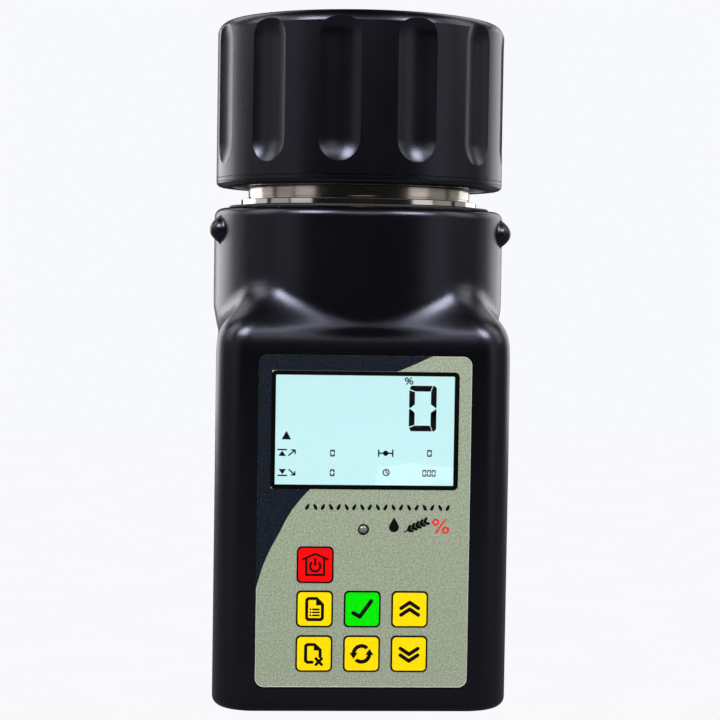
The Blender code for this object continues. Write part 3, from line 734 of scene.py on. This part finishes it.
ear = path([(11.9, 53.3), (18.2, 56.3)], 0.36)
for k in range(5):
    bx, bz = 12.9 + k * 1.18, 53.8 + k * 0.56
    for sgn in (-1, 1):
        t = math.atan2(3.0, 6.3) + sgn * 0.62
        pts = []
        for j in range(18):
            u = TAU * j / 18
            ax, ay = 0.95 * math.cos(u) + 0.95, 0.43 * math.sin(u)
            pts.append((bx + ax * math.cos(t) - ay * math.sin(t), bz + ax * math.sin(t) + ay * math.cos(t)))
        ear.append(pts)
print_layers.append(([drop(8.9, 53.2, 4.4)] + ear, -45.325, 1))
pc = arc_band(21.1, 56.2, 0.8, 0.5, 0, 360) + arc_band(24.0, 53.9, 0.8, 0.5, 0, 360) + path([(21.2, 53.1), (23.9, 57.0)], 0.5)
print_layers.append((pc, -45.325, 2))
# black surround of the window, printed over the edge of its opening
wo, wi = rrect(-WX - 0.3, WZ0 - 0.3, WX + 0.4, WZ1 + 0.12, 1.4, 6), rrect(-WX + 0.86, WZ0 + 0.9, WX - 0.9, WZ1 - 1.12, 0.5, 6)
surround = [[wo[i], wo[(i + 1) % len(wo)], wi[(i + 1) % len(wi)], wi[i]] for i in range(len(wo))]
print_layers.append((surround, -45.335, 4))
art = prints("overlay_print", print_layers, [M["charcoal"], M["ink"], M["ink_red"], M["film_edge"], M["black_line"]])
place(art, "housing", "overlay_film")

# lamp
led = lathe("lamp_lens", [(0, 7.72), (0.7, 7.62), (1.15, 7.3), (1.42, 6.85), (1.5, 6.3), (1.5, 1.4), (1.7, 1.3), (1.7, 0.0), (0, 0.0)],
            [M["led"]], seg=48, closed=False, r=0.12, turn=TO_FRONT, at=(0, -37.56, 53.9))
place(led, "housing", "led_grey", "status_led")

# ------------------------------------------------------------------ display
win = rbox("window_plate", (-WX, -45.3, WZ0), (WX, -43.9, WZ1), [M["window"]], r=1.0, axis="Y", seg=5, edge=0.08, eseg=2)
place(win, "housing", "window_clear", "display_window")
border = prints("window_border", [(band_rect(-WX + 0.02, WZ0 + 0.02, WX - 0.02, WZ1 - 0.02, 1.0, 0.98, 6), -45.318, 0)], [M["black_line"]])
place(border, "housing", "window_clear")
glass = rbox("lcd_glass", (-28.0, -42.9, 64.6), (28.0, -41.1, 101.2), [M["lcd"]], edge=0.1, eseg=1)
place(glass, "housing", "lcd_cyan", "lcd_panel")

def seven(x, z, w, h, t, g, on="abcdef"):
    """Seven-segment digit with its lower left corner at (x, z). The two right segments run the full height, like the usual LCD."""
    c = 0.38 * t
    m2 = h / 2
    seg = {
        "a": [(c, h), (w - 0.62 * t - g, h), (w - t - g, h - t), (t + g * 0.6, h - t), (0.12 * t, h - 0.62 * t), (0.1 * t, h - 0.42 * t)],
        "d": [(0.1 * t, 0.42 * t), (0.12 * t, 0.62 * t), (t + g * 0.6, t), (w - t - g, t), (w - 0.62 * t - g, 0), (c, 0)],
        "b": [(w - 0.62 * t, h), (w - c, h), (w, h - c), (w, m2 + g), (w - 0.16 * t, m2 + g), (w - t, m2 + g + 0.62 * t), (w - t, h - t)],
        "c": [(w, m2 - g), (w, c), (w - c, 0), (w - 0.62 * t, 0), (w - t, t), (w - t, m2 - g - 0.62 * t), (w - 0.16 * t, m2 - g)],
        "f": [(0, h - 0.66 * t - g), (t, h - t - g), (t, m2 + g + 0.62 * t), (0.28 * t, m2 + g), (0, m2 + g)],
        "e": [(0, m2 - g), (0.28 * t, m2 - g), (t, m2 - g - 0.62 * t), (t, t + g), (0, 0.66 * t + g)],
    }
    return [[(x + px, z + pz) for px, pz in seg[s]] for s in on]


lcd_art = []
lcd_art += seven(12.8, 82.65, 8.0, 13.2, 1.66, 0.2)
lcd_art.append([(-24.0, 79.9), (-21.25, 79.9), (-22.62, 82.4)])
for x, z in ((-9.95, 75.1), (18.3, 75.25)):
    lcd_art += seven(x, z, 1.4, 2.0, 0.42, 0.03)
lcd_art += seven(-9.95, 69.4, 1.4, 2.0, 0.42, 0.03)
for k in range(3):
    lcd_art += seven(17.0 + 1.36 * k, 69.45, 1.2, 2.0, 0.38, 0.03)
# percent sign
lcd_art += arc_band(12.0, 97.6, 0.44, 0.34, 0, 360, 14) + arc_band(13.35, 96.75, 0.44, 0.34, 0, 360, 14) + path([(12.0, 96.2), (13.35, 98.15)], 0.32)
# generic marks in place of the words: highest, lowest, mean, count
lcd_art += path([(-25.0, 76.95), (-22.6, 76.95)], 0.42) + [[(-24.9, 75.1), (-22.7, 75.1), (-23.8, 76.65)]] + path([(-21.9, 75.3), (-20.1, 76.8)], 0.4) + path([(-21.1, 76.85), (-20.05, 76.85), (-20.05, 75.85)], 0.4)
lcd_art += path([(-24.9, 69.5), (-22.5, 69.5)], 0.42) + [[(-24.8, 71.35), (-22.6, 71.35), (-23.7, 69.85)]] + path([(-21.8, 71.2), (-20.2, 69.75)], 0.4) + path([(-21.1, 69.65), (-20.1, 69.65), (-20.1, 70.6)], 0.4)
lcd_art += path([(4.2, 76.2), (8.3, 76.2)], 0.42) + [disc(6.25, 76.2, 0.78, 20)] + path([(4.2, 75.3), (4.2, 77.1)], 0.42) + path([(8.3, 75.3), (8.3, 77.1)], 0.42)
lcd_art += arc_band(6.45, 70.6, 0.88, 0.4, 0, 360, 20) + path([(6.45, 71.2), (6.45, 70.6), (6.85, 70.3)], 0.34)
lcd_marks = prints("lcd_marks", [(lcd_art, -42.93, 0)], [M["black_line"]])
place(lcd_marks, "housing", "lcd_cyan")

# ------------------------------------------------------------------ keys


def icon_power(cx, cz):
    out = path([(-3.62, 1.62), (0, 3.25), (3.62, 1.62)], 0.56)
    out += path([(-2.6, 2.0), (-2.6, -2.9), (2.6, -2.9), (2.6, 2.0)], 0.64)
    out += arc_band(0, -0.4, 1.48, 0.66, 128, 412, 30)
    out += [capsule((0, 1.75), (0, 0.1), 0.66)]
    return out


def page():
    out = path([(-1.8, 3.08), (0.55, 3.08), (2.3, 1.3), (2.3, -2.6), (1.8, -3.1), (-1.8, -3.1), (-2.3, -2.6), (-2.3, 2.6)], 0.9, close=True)
    out.append([(0.42, 3.1), (0.42, 1.1), (2.35, 1.1)])
    return out


def icon_store(cx, cz):
    out = page()
    for z in (-0.1, -0.98, -1.86):
        out += path([(-0.5, z), (1.3, z)], 0.5) + [disc(-1.2, z, 0.27, 14)]
    return out


def icon_delete(cx, cz):
    out = path([(-0.45, -2.5), (-1.95, -2.5), (-2.42, -2.05), (-2.42, 2.25), (-1.95, 2.68), (0.1, 2.68), (1.8, 1.1), (1.8, -0.85)], 0.9)
    out.append([(-0.05, 2.7), (-0.05, 0.95), (1.85, 0.95)])
    out += path([(0.62, -1.45), (2.3, -3.2)], 0.82) + path([(2.3, -1.45), (0.62, -3.2)], 0.82)
    return out


def icon_ok(cx, cz):
    return path([(-2.58, -1.12), (-0.68, -2.2), (2.6, 2.4)], 1.2)


def icon_up(cx, cz):
    out = []
    for z in (0.34, -1.62):
        out += path([(-2.55, z), (0, z + 1.7), (2.55, z)], 1.08)
    return out


def icon_down(cx, cz):
    return [[(x, -z) for x, z in p] for p in icon_up(cx, cz)]


def icon_repeat(cx, cz):
    out = arc_band(0, 0, 2.33, 1.1, 46, 178, 24) + arc_band(0, 0, 2.33, 1.1, 226, 358, 24)
    out.append([(-3.5, 0.3), (-1.1, 0.3), (-2.35, -1.5)])
    out.append([(3.5, -0.3), (1.1, -0.3), (2.35, 1.5)])
    return out


ICONS = {"power": icon_power, "store": icon_store, "ok": icon_ok, "up": icon_up, "delete": icon_delete,
         "repeat": icon_repeat, "down": icon_down}
FACES = {"power": "key_red", "ok": "key_green"}
for name, x, z in KEYS:
    face = FACES.get(name, "key_yellow")
    bm = bmesh.new()
    tool_box(bm, (x - 5.15, -45.55, z - 5.15), (x + 5.15, -43.6, z + 5.15), r=1.3, axis="Y", seg=7)
    back = max(bm.faces, key=lambda f: (round(f.calc_center_median().y, 6), f.calc_area()))
    bmesh.ops.inset_individual(bm, faces=[back], thickness=3.3 * MM)
    stem = bmesh.ops.extrude_discrete_faces(bm, faces=[back])["faces"][0]
    bmesh.ops.translate(bm, verts=list(stem.verts), vec=(0, 4.7 * MM, 0))
    # soft front edge
    front = min(bm.faces, key=lambda f: (round(f.calc_center_median().y, 6), -f.calc_area()))
    bmesh.ops.bevel(bm, geom=list(front.edges), offset=0.16 * MM, segments=3, profile=0.5, affect="EDGES", clamp_overlap=True)
    pad = from_bm(f"key_{name}_pad", bm, [M["key_side"]], 40)
    place(pad, f"key_{name}", "key_red" if name == "power" else "key_green" if name == "ok" else "key_yellow", f"key_{name}")
    ico = [[(x + a, z + b) for a, b in p] for p in ICONS[name](x, z)]
    art = prints(f"key_{name}_face", [([rrect(x - 4.88, z - 4.88, x + 4.88, z + 4.88, 1.12, 7)], -45.556, 0), (ico, -45.57, 1)],
                 [M[face], M["ink"]])
    place(art, f"key_{name}", "key_red" if name == "power" else "key_green" if name == "ok" else "key_yellow")


# ------------------------------------------------------------------ cup, neck and thread
PITCH = 4.0


def ridge(t):
    """Trapezoid thread form over one pitch, 0 in the root and 1 on the crest."""
    d = np.abs(((t + 0.5) % 1.0) - 0.5)
    return np.clip((0.33 - d) / 0.17, 0.0, 1.0)


def thread_rows(z0, z1, step):
    return np.arange(z0, z1 + 1e-6, step)


SEG = 160
phi = np.linspace(0, TAU, SEG, endpoint=False)
cphi, sphi = np.cos(phi), np.sin(phi)


def ring_at(r, z):
    r = np.broadcast_to(r, phi.shape)
    return np.stack([r * cphi, r * sphi, np.full_like(phi, z)], -1)


P, mats = [], []
inner_up = [(8.9, 112.0), (30.7, 112.0), (31.0, 112.3), (31.0, 125.0), (31.0, 150.0), (31.0, 169.3), (31.15, 169.7), (31.6, 169.95), (32.0, 170.0),
            (34.0, 170.0), (34.5, 169.85), (34.8, 169.4)]
for r, z in inner_up:
    P.append(ring_at(r, z))
for z in thread_rows(154.7, 169.2, 0.25)[::-1]:
    env = np.clip(min((z - 154.7) / 1.2, (169.2 - z) / 1.6), 0, 1)
    P.append(ring_at(34.9 + 2.25 * env * ridge((z - PITCH * phi / TAU) / PITCH), z))
outer_down = [(34.55, 154.45), (34.3, 154.2), (34.3, 151.3), (34.0, 151.15), (34.0, 150.75),
              (34.3, 150.6), (35.2, 150.5), (36.35, 150.5), (36.5, 150.38), (36.5, 149.0), (36.38, 148.85), (33.0, 148.85), (33.0, 148.5),
              (33.0, 130.0), (33.0, 108.4), (32.7, 108.0), (9.0, 108.0), (8.7, 108.3), (8.7, 111.8)]
for r, z in outer_down:
    P.append(ring_at(r, z))
n_in = 6
top_flange = len(P) - len(outer_down) + 5
# rows 10 up to the flange take the darker neck copy of the plate: painted shade under the cap lip
row_mat = [1 if i < n_in else 2 if 10 <= i < top_flange else 0 for i in range(len(P))]
cup = grid("sample_cup", P, [M["nickel"], M["nickel_in"], M["neck"]], ring=True, angle=28, row_mat=row_mat)
place(cup, "housing", "nickel_plate", "chamber_cup")

gasket = lathe("neck_seal", [(34.0, 148.65), (39.9, 148.65), (40.2, 148.4), (40.2, 148.1), (40.0, 147.87), (34.0, 147.87)], [M["rubber"]], seg=160, r=0.15)
place(gasket, "housing", "rubber_black", "neck_gasket")
insul = lathe("insulator_disc", [(3.3, 114.5), (30.5, 114.5), (30.75, 114.25), (30.8, 112.15), (8.4, 112.15), (8.4, 106.6), (3.3, 106.6)], [M["white"]], seg=128, r=0.2)
place(insul, "housing", "white_plastic", "insulator_base")
elec = lathe("centre_post", [(0, 125.5), (3.0, 125.15), (5.4, 123.9), (7.0, 121.6), (7.7, 119.6), (8.0, 118.0), (8.0, 114.7), (3.1, 114.7), (3.1, 98.5), (2.7, 98.0), (0, 98.0)],
             [M["nickel"]], seg=96, closed=False, r=0.6, n=5)
place(elec, "housing", "nickel_plate", "centre_electrode")
probe = lathe("probe_tip", [(0, 119.5), (0.7, 119.3), (1.2, 118.6), (1.2, 115.4), (2.0, 115.2), (2.0, 114.6), (0, 114.6)], [M["steel"]], seg=40, closed=False, r=0.2, at=(0, 21.0, 0))
place(probe, "housing", "steel", "temperature_probe")

# ------------------------------------------------------------------ cap
CAP_R, LIP_Z, N_FLUTE, PHASE = 44.3, 154.3, 12, -101.35
cap_out = [(10.2, 204.75), (10.45, 205.0), (12.5, 205.0), (12.7, 204.8), (13.1, 204.8), (13.3, 205.0), (36.0, 205.0)]
for t in np.linspace(0, 1, 13):
    cap_out.append(((1 - t) ** 2 * 40.2 + 2 * t * (1 - t) * 43.25 + t * t * CAP_R, (1 - t) ** 2 * 205.0 + 2 * t * (1 - t) * 204.95 + t * t * 201.7))
cap_out += [(CAP_R, z) for z in (200.4, 196.0, 190.0, 184.0, 178.0, 172.0, 166.0, 162.0, 159.0, 157.4)]
cap_out += [(CAP_R, 157.2), (CAP_R - 0.26, 157.08), (CAP_R - 0.26, 156.92), (CAP_R, 156.8), (CAP_R, 156.05), (CAP_R - 0.22, 155.93), (CAP_R - 0.22, 155.77), (CAP_R - 0.02, 155.65),
            (CAP_R - 0.12, 155.3), (43.95, 154.95), (43.5, 154.6), (42.9, 154.38), (42.3, LIP_Z), (39.5, LIP_Z), (39.25, 154.45), (39.2, 154.8), (39.2, 156.2), (41.2, 156.2),
            (41.2, 172.8), (38.6, 172.8), (38.6, 199.0), (38.3, 199.7), (37.6, 200.0), (13.3, 200.0), (13.0, 199.7), (13.0, 186.3), (12.7, 186.0), (3.8, 186.0), (3.5, 186.3), (3.5, 189.8), (3.7, 190.0), (10.0, 190.0), (10.2, 190.2)]
cap_seg = 240
ca = np.radians(PHASE + 0.75) + np.linspace(0, TAU, cap_seg, endpoint=False)
P = [np.stack([r * np.cos(ca), r * np.sin(ca), np.full_like(ca, z)], -1) for r, z in cap_out]
cap = grid("cap_body", P, [M["cap"]], ring=True, angle=0)
RC, DEPTH, ZB, ZT = 13.7, 1.9, 167.9, 196.9
bm = bmesh.new()
cr = CAP_R - DEPTH + RC
for k in range(N_FLUTE):
    a = math.radians(PHASE + 360.0 / N_FLUTE * k)
    base = Matrix.Rotation(a, 4, "Z") @ Matrix.Translation((cr, 0, 0))
    rows_c = [(0.0, ZB - RC)]
    for t in np.linspace(-90, 0, 25)[1:]:
        b_ = math.radians(t)
        rows_c.append((RC * math.cos(b_), ZB + RC * math.sin(b_)))
    for t in np.linspace(0, 90, 25)[:-1]:
        b_ = math.radians(t)
        rows_c.append((RC * math.cos(b_), ZT + RC * math.sin(b_)))
    rows_c.append((0.0, ZT + RC))
    prev = None
    nseg = 112
    for r, z in rows_c:
        if r == 0.0:
            cur = [bm.verts.new((base @ Vector((0, 0, z))) * MM)]
        else:
            cur = [bm.verts.new((base @ Vector((r * math.cos(TAU * j / nseg), r * math.sin(TAU * j / nseg), z))) * MM) for j in range(nseg)]
        if prev is not None:
            for j in range(nseg):
                l = (j + 1) % nseg
                if len(prev) == 1:
                    bm.faces.new((prev[0], cur[l], cur[j]))
                elif len(cur) == 1:
                    bm.faces.new((prev[j], prev[l], cur[0]))
                else:
                    bm.faces.new((prev[j], prev[l], cur[l], cur[j]))
        prev = cur
bmesh.ops.recalc_face_normals(bm, faces=bm.faces)
cut(cap, bm, angle=17)
place(cap, "cap", "cap_black", "cap_shell")

P = []
ring_phase = PITCH * 0.5
zs = thread_rows(157.2, 171.9, 0.25)
P.append(ring_at(38.2, 156.5))
P.append(ring_at(37.7, 156.8))
for z in zs:
    env = np.clip(min((z - 157.2) / 1.0, (171.9 - z) / 1.0), 0, 1)
    P.append(ring_at(37.55 - 1.9 * env * ridge((z - PITCH * phi / TAU) / PITCH + 0.5), z))
P.append(ring_at(37.7, 172.3))
P.append(ring_at(38.2, 172.6))
P += [ring_at(40.6, 172.6), ring_at(40.9, 172.3), ring_at(40.9, 156.8), ring_at(40.6, 156.5)]
tr = grid("cap_thread", P, [M["inner"]], ring=True, angle=28)
place(tr, "cap", "inner_dark", "cap_thread_ring")

bezel = lathe("pin_bezel", [(6.2, 204.7), (9.3, 204.7), (9.9, 204.3), (9.9, 203.0), (6.2, 203.0)], [M["nickel"]], seg=96, r=0.22)
place(bezel, "cap", "nickel_plate", "indicator_bezel")

# ------------------------------------------------------------------ pressure unit
seat = lathe("seat_ring", [(13.7, 199.6), (19.6, 199.6), (20.0, 199.2), (20.0, 197.7), (13.7, 197.7)], [M["steel"]], seg=96, r=0.25)
place(seat, "spring_seat", "steel", "spring_seat")
plate = lathe("press_plate", [(0, 157.9), (5.5, 157.9), (6.0, 157.4), (6.0, 153.2), (6.6, 152.6), (7.4, 152.4), (24.0, 152.4), (24.4, 152.0), (26.4, 152.0), (26.8, 152.4), (29.9, 152.4),
                              (30.4, 151.9), (30.4, 148.6), (29.8, 148.0), (20.0, 148.0), (19.6, 148.3), (0, 148.3)], [M["nickel"]], seg=128, closed=False, r=0.25)
place(plate, "plunger", "nickel_plate", "pressure_plate")
pin = lathe("indicator_rod", [(0, 199.8), (1.7, 199.75), (2.5, 199.5), (3.0, 198.9), (3.0, 196.2), (2.75, 196.05), (2.75, 195.75), (3.0, 195.6), (3.0, 158.1), (0, 158.1)],
            [M["steel"]], seg=48, closed=False, r=0.12)
place(pin, "plunger", "steel", "indicator_pin")
nut = lathe("rod_nut", [(3.6, 197.8), (5.3, 197.8), (5.9, 197.4), (5.9, 195.0), (5.3, 194.6), (3.6, 194.6)], [M["brass"]], seg=6, r=0.12, angle=25)
place(nut, "plunger", "brass", "pin_nut")

# ------------------------------------------------------------------ battery compartment
tray = rbox("tray_shell", (-17.4, 22.0, 10.4), (17.4, 43.0, 68.4), [M["inner"]], edge=0.4, eseg=3)
bm = bmesh.new()
tool_box(bm, (-16.1, 23.3, 11.7), (16.1, 45.0, 67.1), r=0.8, axis="Y", seg=4)
cut(tray, bm, angle=32)
place(tray, "housing", "inner_dark", "battery_tray")

door = rbox("door_panel", (-15.35, 43.35, 12.5), (15.35, 45.6, 66.3), [M["housing"]], r=1.3, axis="Y", seg=5, edge=0.25, eseg=3)
bm = bmesh.new()
for k in range(6):
    tool_box(bm, (-8.5, 45.05, 50.0 + 2.1 * k), (8.5, 46.4, 51.0 + 2.1 * k), r=0.49, axis="Y", seg=5)
cut(door, bm, angle=0)
bm = bmesh.new()
v = [bm.verts.new(Vector(c) * MM) for c in [(-2.6, 45.15, 45.6), (2.6, 45.15, 45.6), (0, 45.15, 42.2), (-2.6, 46.4, 45.6), (2.6, 46.4, 45.6), (0, 46.4, 42.2)]]
for f in ((0, 1, 2), (5, 4, 3), (0, 3, 4, 1), (1, 4, 5, 2), (2, 5, 3, 0)):
    bm.faces.new([v[i] for i in f])
bmesh.ops.recalc_face_normals(bm, faces=bm.faces)
cut(door, bm, angle=0)
bm = bmesh.new()
tool_cyl(bm, (0, 44.6, 13.2), 0.6, 32.4, axis="X", seg=24)
cut(door, bm, op="UNION", angle=32)
place(door, "battery_door", "housing_black", "battery_door")

batt = rbox("battery_block", (-13.2, 24.2, 12.4), (13.2, 41.2, 58.4), [M["batt"]], r=1.8, axis="Z", seg=6, edge=0.4, eseg=3)
place(batt, "housing", "battery_case", "battery")
band = rbox("battery_stripe", (-13.23, 24.17, 46.5), (13.23, 41.23, 58.0), [M["batt_band"]], r=1.82, axis="Z", seg=6)
place(band, "housing", "battery_case")
snap = rbox("snap_connector", (-12.6, 26.2, 58.8), (12.6, 39.2, 62.6), [M["key_side"]], r=1.4, axis="Z", seg=5, edge=0.4, eseg=3)
place(snap, "housing", "cap_black", "battery_snap")
for name, x, mat, sl in (("lead_red", 4.0, "wire_red", "wire_red"), ("lead_black", -4.0, "wire_black", "wire_black")):
    pts = [Vector((x, 32.0, 62.9)), Vector((x, 31.9, 63.7)), Vector((x, 31.6, 64.6)), Vector((x, 31.25, 65.5)), Vector((x, 31.0, 66.2))]
    verts, faces = [], []
    ns = 20
    for i, p in enumerate(pts):
        t = (pts[min(i + 1, len(pts) - 1)] - pts[max(i - 1, 0)]).normalized()
        u = t.cross(Vector((1, 0, 0))).normalized()
        w = t.cross(u)
        verts += [(p + 0.75 * (u * math.cos(TAU * j / ns) + w * math.sin(TAU * j / ns))) * MM for j in range(ns)]
    for i in range(len(pts) - 1):
        faces += [(i * ns + j, i * ns + (j + 1) % ns, (i + 1) * ns + (j + 1) % ns, (i + 1) * ns + j) for j in range(ns)]
    faces += [tuple(reversed(range(ns))), tuple(range((len(pts) - 1) * ns, len(pts) * ns))]
    lead = mesh_object(f"stub_{name}", verts, faces, [M[mat]], None, 35, fix=True)
    place(lead, "housing", sl, f"battery_{name}")

# ------------------------------------------------------------------ pressure spring
s_lo, s_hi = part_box("pressure_spring")
WIRE, COIL_R, TURNS = 1.1, 16.8, 6
sz0, sz1 = s_lo[2] * 1000 + WIRE, s_hi[2] * 1000 - WIRE
steps, ns = 60 * TURNS, 14
verts, faces = [], []
for i in range(steps + 1):
    u = TURNS * i / steps
    if u < 1:
        rise = 0.064 * u
    elif u > TURNS - 1:
        rise = 1 - 0.064 * (TURNS - u)
    else:
        rise = 0.064 + (1 - 0.128) * (u - 1) / (TURNS - 2)
    a = TAU * u
    out_dir = Vector((math.cos(a), math.sin(a), 0))
    centre = out_dir * COIL_R + Vector((0, 0, sz0 + (sz1 - sz0) * rise))
    for j in range(ns):
        b = TAU * j / ns
        verts.append((centre + WIRE * (out_dir * math.cos(b) + Vector((0, 0, 1)) * math.sin(b))) * MM)
for i in range(steps):
    faces += [(i * ns + j, i * ns + (j + 1) % ns, (i + 1) * ns + (j + 1) % ns, (i + 1) * ns + j) for j in range(ns)]
faces += [tuple(reversed(range(ns))), tuple(range(steps * ns, steps * ns + ns))]
coil = mesh_object("coil_spring", verts, faces, [M["spring"]], None, 35, fix=True)
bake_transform(coil)
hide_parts("pressure_spring")

# ------------------------------------------------------------------ kept CAD nodes
KEEP = {"lcd_frame": "white", "backlight": "white", "main_pcb": "board", "sensor_pcb": "board", "electrode_nut": "brass",
        "chamber_lock_nut": "brass"}
for name, ob in NODES.items():
    if ob.hide_render:
        continue
    key = KEEP.get(name)
    if key is None:
        key = "steel"
    ob.data.materials.clear()
    ob.data.materials.append(M[key])
    for p in ob.data.polygons:
        p.material_index = 0

# ------------------------------------------------------------------ camera
cam_data = bpy.data.cameras.new("camera")
cam = bpy.data.objects.new("camera", cam_data)
bpy.context.scene.collection.objects.link(cam)
right, upv, fwd = Vector((0.99784563, -0.06369781, 0.01570615)), Vector((-0.01287142, 0.0446714, 0.99891881)), Vector((0.06433055, 0.99696893, -0.04375528))
right = right.normalized()
back = -fwd.normalized()
upv = back.cross(right).normalized()
rot = Matrix((right, upv, back)).transposed().to_4x4()
cam.matrix_world = Matrix.Translation(Vector((-39.411, -628.651, 128.904)) * MM) @ rot
cam_data.sensor_width = 36.0
cam_data.lens = 100.88
cam_data.clip_start = 0.01
bpy.context.scene.camera = cam


# ------------------------------------------------------------------ studio
def light(name, az, el, dist, size, power, size_y=None, aim=(0, 0, 0.105), tint=(1, 1, 1), spread=math.pi):
    d = bpy.data.lights.new(name, "AREA")
    d.shape = "RECTANGLE"
    d.size, d.size_y = size, size_y or size
    d.energy = power
    d.color = tint
    d.spread = spread
    o = bpy.data.objects.new(name, d)
    bpy.context.scene.collection.objects.link(o)
    a, e = math.radians(az), math.radians(el)
    pos = Vector((math.sin(a) * math.cos(e), -math.cos(a) * math.cos(e), math.sin(e))) * dist + Vector(aim)
    o.location = pos
    o.rotation_euler = (Vector(aim) - pos).to_track_quat("-Z", "Y").to_euler()
    o.visible_camera = False
    return o


LIGHTS = [
    # name, azimuth, elevation, distance, width, watts, height
    ("rim_left", -140, 4, 1.0, 0.62, 4.136, 0.8),
    ("rim_right", 140, 4, 1.0, 0.62, 2.552, 0.8),
    ("rear_left", -112, 4, 1.0, 0.34, 0.52, 0.8),
    ("rear_right", 112, 4, 1.0, 0.34, 0.26, 0.8),
    ("side_left", -85, 4, 1.0, 0.4, 0.364, 0.8),
    ("side_right", 85, 4, 1.0, 0.4, 0.294, 0.8),
    ("sheet_left", -60, 6, 1.0, 0.4, 0.51, 0.7),
    ("sheet_right", 60, 6, 1.0, 0.4, 0.714, 0.7),
    ("mid_left", -90, 24, 1.0, 0.4, 0.77, 0.35),
    ("mid_right", 90, 24, 1.0, 0.4, 0.7, 0.35),
    ("high_rear_left", -97, 42, 1.0, 0.4, 1.8, 0.4),
    ("high_rear_right", 97, 42, 1.0, 0.4, 1.35, 0.4),
    ("key_left", -46, 42, 1.0, 0.34, 10.4, 0.34),
    ("key_right", 46, 42, 1.0, 0.34, 9.6, 0.34),
    ("front_strip", 0, 41, 1.0, 0.8, 3.3, 0.26),
    ("low_strip", 0, 24, 1.0, 0.36, 0.5, 0.14),
    ("back_left", -150, 42, 1.0, 0.4, 0.8, 0.4),
    ("back_right", 150, 42, 1.0, 0.4, 0.8, 0.4),
]
for row in LIGHTS:
    light(*row)

world = bpy.data.worlds.new("studio")
bpy.context.scene.world = world
world.use_nodes = True
wn = world.node_tree
bg = wn.nodes["Background"]
out = next(n for n in wn.nodes if n.type == "OUTPUT_WORLD")
bg.inputs["Color"].default_value = (1.0, 1.0, 1.0, 1)
bg.inputs["Strength"].default_value = 0.01
bg2 = wn.nodes.new("ShaderNodeBackground")
bg2.inputs["Color"].default_value = (0.965, 0.975, 1.0, 1)
bg2.inputs["Strength"].default_value = 0.97
lp = wn.nodes.new("ShaderNodeLightPath")
mix = wn.nodes.new("ShaderNodeMixShader")
wn.links.new(lp.outputs["Is Camera Ray"], mix.inputs["Fac"])
wn.links.new(bg.outputs["Background"], mix.inputs[1])
wn.links.new(bg2.outputs["Background"], mix.inputs[2])
wn.links.new(mix.outputs["Shader"], out.inputs["Surface"])

floor = mesh_object("floor", [(-0.9, -0.75, 0), (0.9, -0.75, 0), (0.9, 0.9, 0), (-0.9, 0.9, 0)], [(0, 1, 2, 3)], [M["ink"]], None, 0)
fm, fnt, fb, fco = nodes_of("floor_paper")
fn = noise(fnt, fco, 30.0)
fc = ramp(fnt, fn.outputs["Fac"], [(0.3, (0.955, 0.96, 0.975)), (0.7, (0.965, 0.97, 0.985))])
em = fnt.nodes.new("ShaderNodeEmission")
em.inputs["Strength"].default_value = 0.98
fnt.links.new(fc.outputs["Color"], em.inputs["Color"])
fb.inputs["Base Color"].default_value = (0.10, 0.10, 0.11, 1)
fb.inputs["Roughness"].default_value = 0.8
flp = fnt.nodes.new("ShaderNodeLightPath")
fmx = fnt.nodes.new("ShaderNodeMixShader")
fout = next(n for n in fnt.nodes if n.type == "OUTPUT_MATERIAL")
fnt.links.new(flp.outputs["Is Camera Ray"], fmx.inputs["Fac"])
fnt.links.new(fb.outputs["BSDF"], fmx.inputs[1])
fnt.links.new(em.outputs["Emission"], fmx.inputs[2])
fnt.links.new(fmx.outputs["Shader"], fout.inputs["Surface"])
floor.data.materials.clear()
floor.data.materials.append(fm)
floor.location.z = -0.0004

bpy.context.scene.view_settings.view_transform = "Standard"
bpy.context.scene.view_settings.look = "None"
